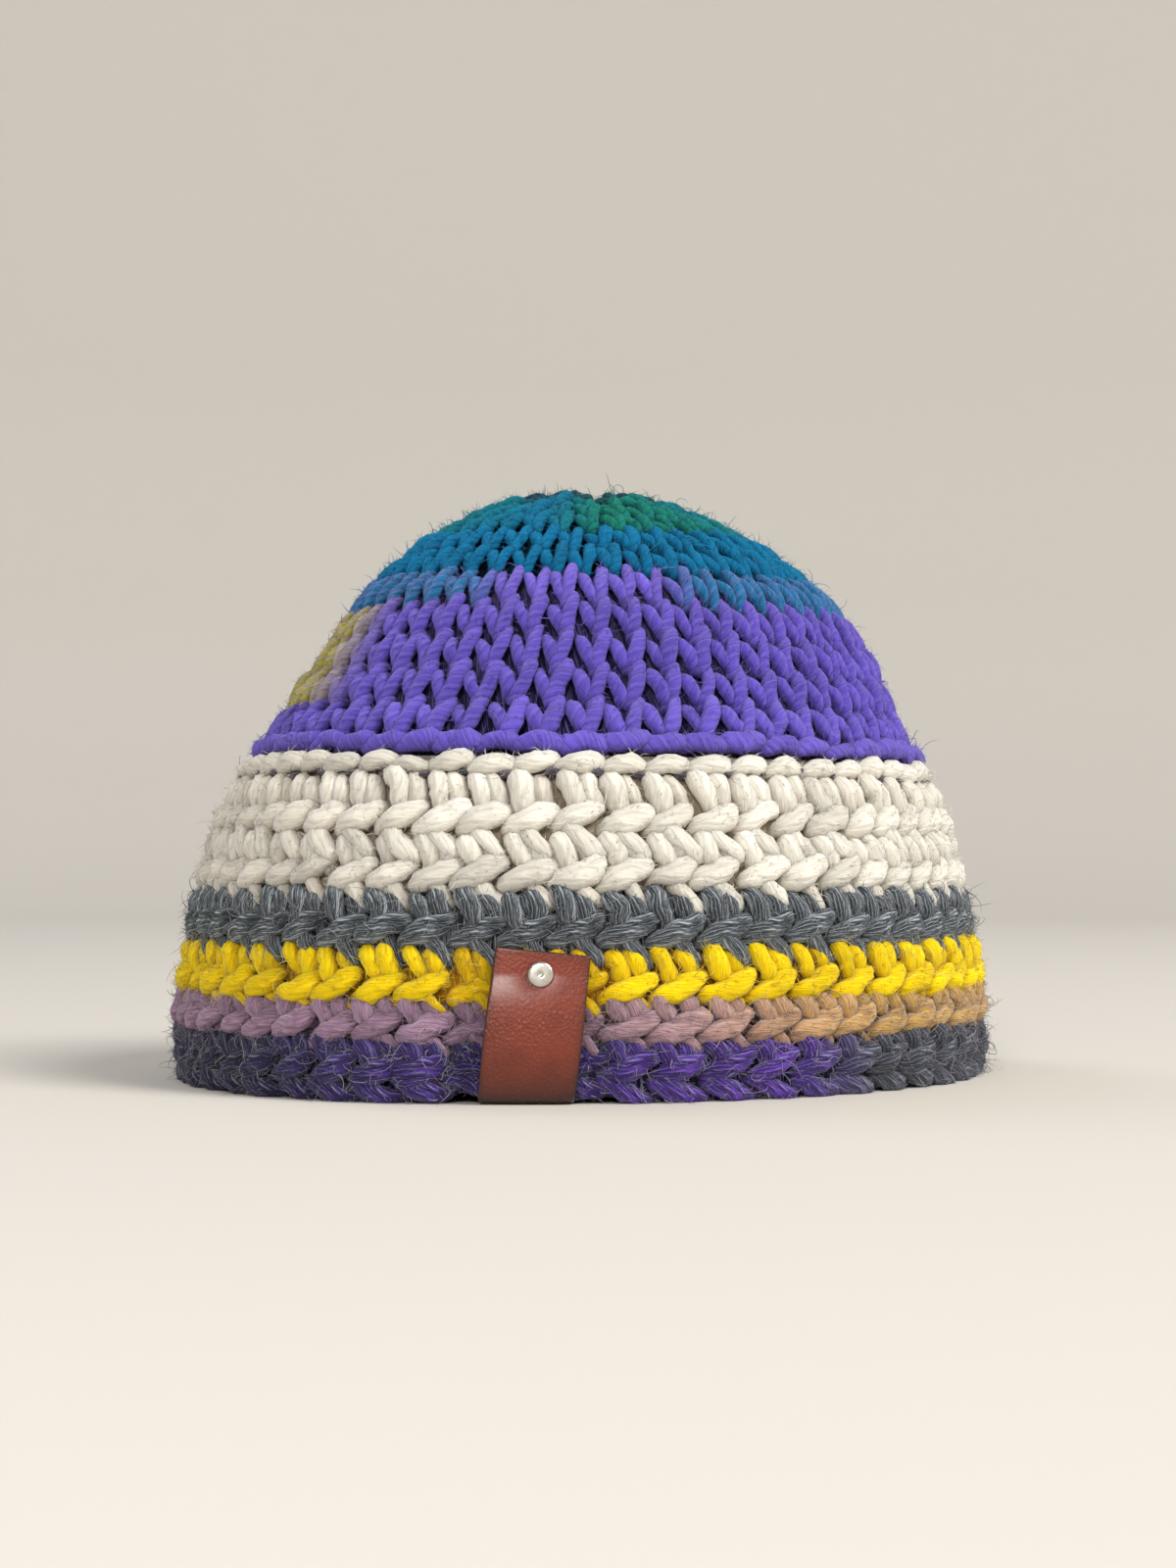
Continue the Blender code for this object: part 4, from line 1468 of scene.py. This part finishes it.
def nickel(name):
    """Nickel plate on brass, a little yellow beside chrome, tumbled so that it is not quite a mirror."""
    material, tree, shader = new_material(name, {"Metallic": 1.0})
    place = add_node(tree, "ShaderNodeNewGeometry")
    wear = add_node(
        tree, "ShaderNodeTexNoise", {"Scale": 1 / (WEAR_MM * MM), "Detail": 4.0},
        {"Vector": place.outputs["Position"]},
    )
    ends = {"A": rgba("#B9B5AA"), "B": rgba("#DAD7CF")}
    tone = add_node(tree, "ShaderNodeMix", ends, {"Factor": wear.outputs["Fac"]}, **BLEND)
    tree.links.new(tone.outputs["Result"], shader.inputs["Base Color"])
    rough = add_node(
        tree, "ShaderNodeMapRange", {"To Min": 0.22, "To Max": 0.42}, {"Value": wear.outputs["Fac"]}
    )
    tree.links.new(rough.outputs[0], shader.inputs["Roughness"])
    return material


put_in_scene("nickel_rivet", rivet_mesh, nickel("nickel_plate"), "rivet")

# %% [markdown]
# ## Floor, light and camera
#
# The floor is a wide disc of pale matt paint that curves up into a wall all round, as a photographer's
# cove does, so no edge shows behind the hat from any side. A profile of a few points is turned by the
# Screw modifier.

# %% The cove
COVE = (
    # radius and height in metres
    (0.0, 0.0),
    (1.9, 0.0),
    (2.2, 0.03),
    (2.5, 0.16),
    (2.72, 0.42),
    (2.8, 0.75),
    (2.8, 1.5),
)
COVE_SIDES = 96


def matt_paint(name, hex_code):
    """Emulsion paint: even, and without a shine."""
    values = {"Base Color": rgba(hex_code), "Roughness": 0.95, "Specular IOR Level": 0.2}
    return new_material(name, values)[0]


cove_mesh = bpy.data.meshes.new("cove")
cove_profile = [(radius, 0, height) for radius, height in COVE]
cove_mesh.from_pydata(cove_profile, [(i, i + 1) for i in range(len(COVE) - 1)], [])
cove_mesh.materials.append(matt_paint("warm_white_emulsion", "#D2CEC7"))
cove = bpy.data.objects.new("cove", cove_mesh)
bpy.context.scene.collection.objects.link(cove)
turning = cove.modifiers.new("turning", "SCREW")
turning.steps = turning.render_steps = COVE_SIDES
turning.use_merge_vertices = True
turning.merge_threshold = 0.0001
cove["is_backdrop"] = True
print("floor and wall, m across:", 2 * COVE[-1][0])

# %% [markdown]
# A big soft window lights the hat from the right and above. A small lamp beside the camera puts a shine
# on the leather, and a faint one opposite the window stands for the far wall, so that no side is lost in
# the dark.


# %% Light
def place_looking(thing, azimuth, elevation, distance):
    """Puts a lamp or camera round the hat's middle and turns it to look there."""
    turn, rise_angle = math.radians(azimuth), math.radians(elevation)
    middle = (Vector(cad_low) + Vector(cad_high)) / 2
    level = math.cos(rise_angle)
    away = Vector((math.sin(turn) * level, -math.cos(turn) * level, math.sin(rise_angle)))
    thing.location = middle + away * distance
    thing.rotation_euler = (-away).to_track_quat("-Z", "Y").to_euler()


def soft_light(name, power, size, azimuth, elevation, distance, hex_code):
    """A square lamp that looks at the hat, placed as a camera of that azimuth and elevation would be."""
    lamp = bpy.data.lights.new(name, "AREA")
    lamp.energy = power
    lamp.size = size
    lamp.color = linear(hex_code)
    placed = bpy.data.objects.new(name, lamp)
    bpy.context.scene.collection.objects.link(placed)
    place_looking(placed, azimuth, elevation, distance)


LAMPS = (
    # name, watts, metres wide, azimuth, elevation, metres away, colour
    ("window", 126.0, 1.5, 128, 45, 3.8, "#FFFCF7"),
    ("sheen", 9.0, 0.35, 58, 26, 1.6, "#FFFDFA"),
    ("far_wall", 26.0, 1.6, 300, 47, 3.8, "#F6F8FF"),
)
world = bpy.data.worlds.new("soft_room")
bpy.context.scene.world = world
world.use_nodes = True
room = world.node_tree.nodes["Background"]
room.inputs["Color"].default_value = rgba("#F4F4F6")
room.inputs["Strength"].default_value = 0.36
for lamp in LAMPS:
    soft_light(*lamp)
print("lamps, watts:", {name: power for name, power, *_ in LAMPS})

# %% [markdown]
# The camera stands to the left of the hat's front and almost level with it, so the tag faces it and the
# crown is seen from the side. A lens of 55 mm on a frame 36 mm high leaves some floor round the hat and
# doesn't stretch its near side.

# %% Camera
CAMERA_AZIMUTH = 68
CAMERA_ELEVATION = -2
CAMERA_DISTANCE = 0.62
LENS_MM = 55
FRAME_MM = 36
camera_data = bpy.data.cameras.new("camera")
camera_data.sensor_fit = "VERTICAL"
camera_data.sensor_height = FRAME_MM
camera_data.lens = LENS_MM
camera = bpy.data.objects.new("camera", camera_data)
bpy.context.scene.collection.objects.link(camera)
place_looking(camera, CAMERA_AZIMUTH, CAMERA_ELEVATION, CAMERA_DISTANCE)
bpy.context.scene.camera = camera
bpy.context.scene.view_settings.view_transform = "Standard"
print("camera, m:", [round(value, 3) for value in camera.location])

# %% [markdown]
# ## Sizes
#
# Wool stands a little proud of the solids, but not far. The box of all that was made is printed, to set
# beside the box of the solids printed at the start.

# %% Sizes
low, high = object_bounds()
print("visual, mm:", [round((b - a) * 1000, 1) for a, b in zip(low, high)])
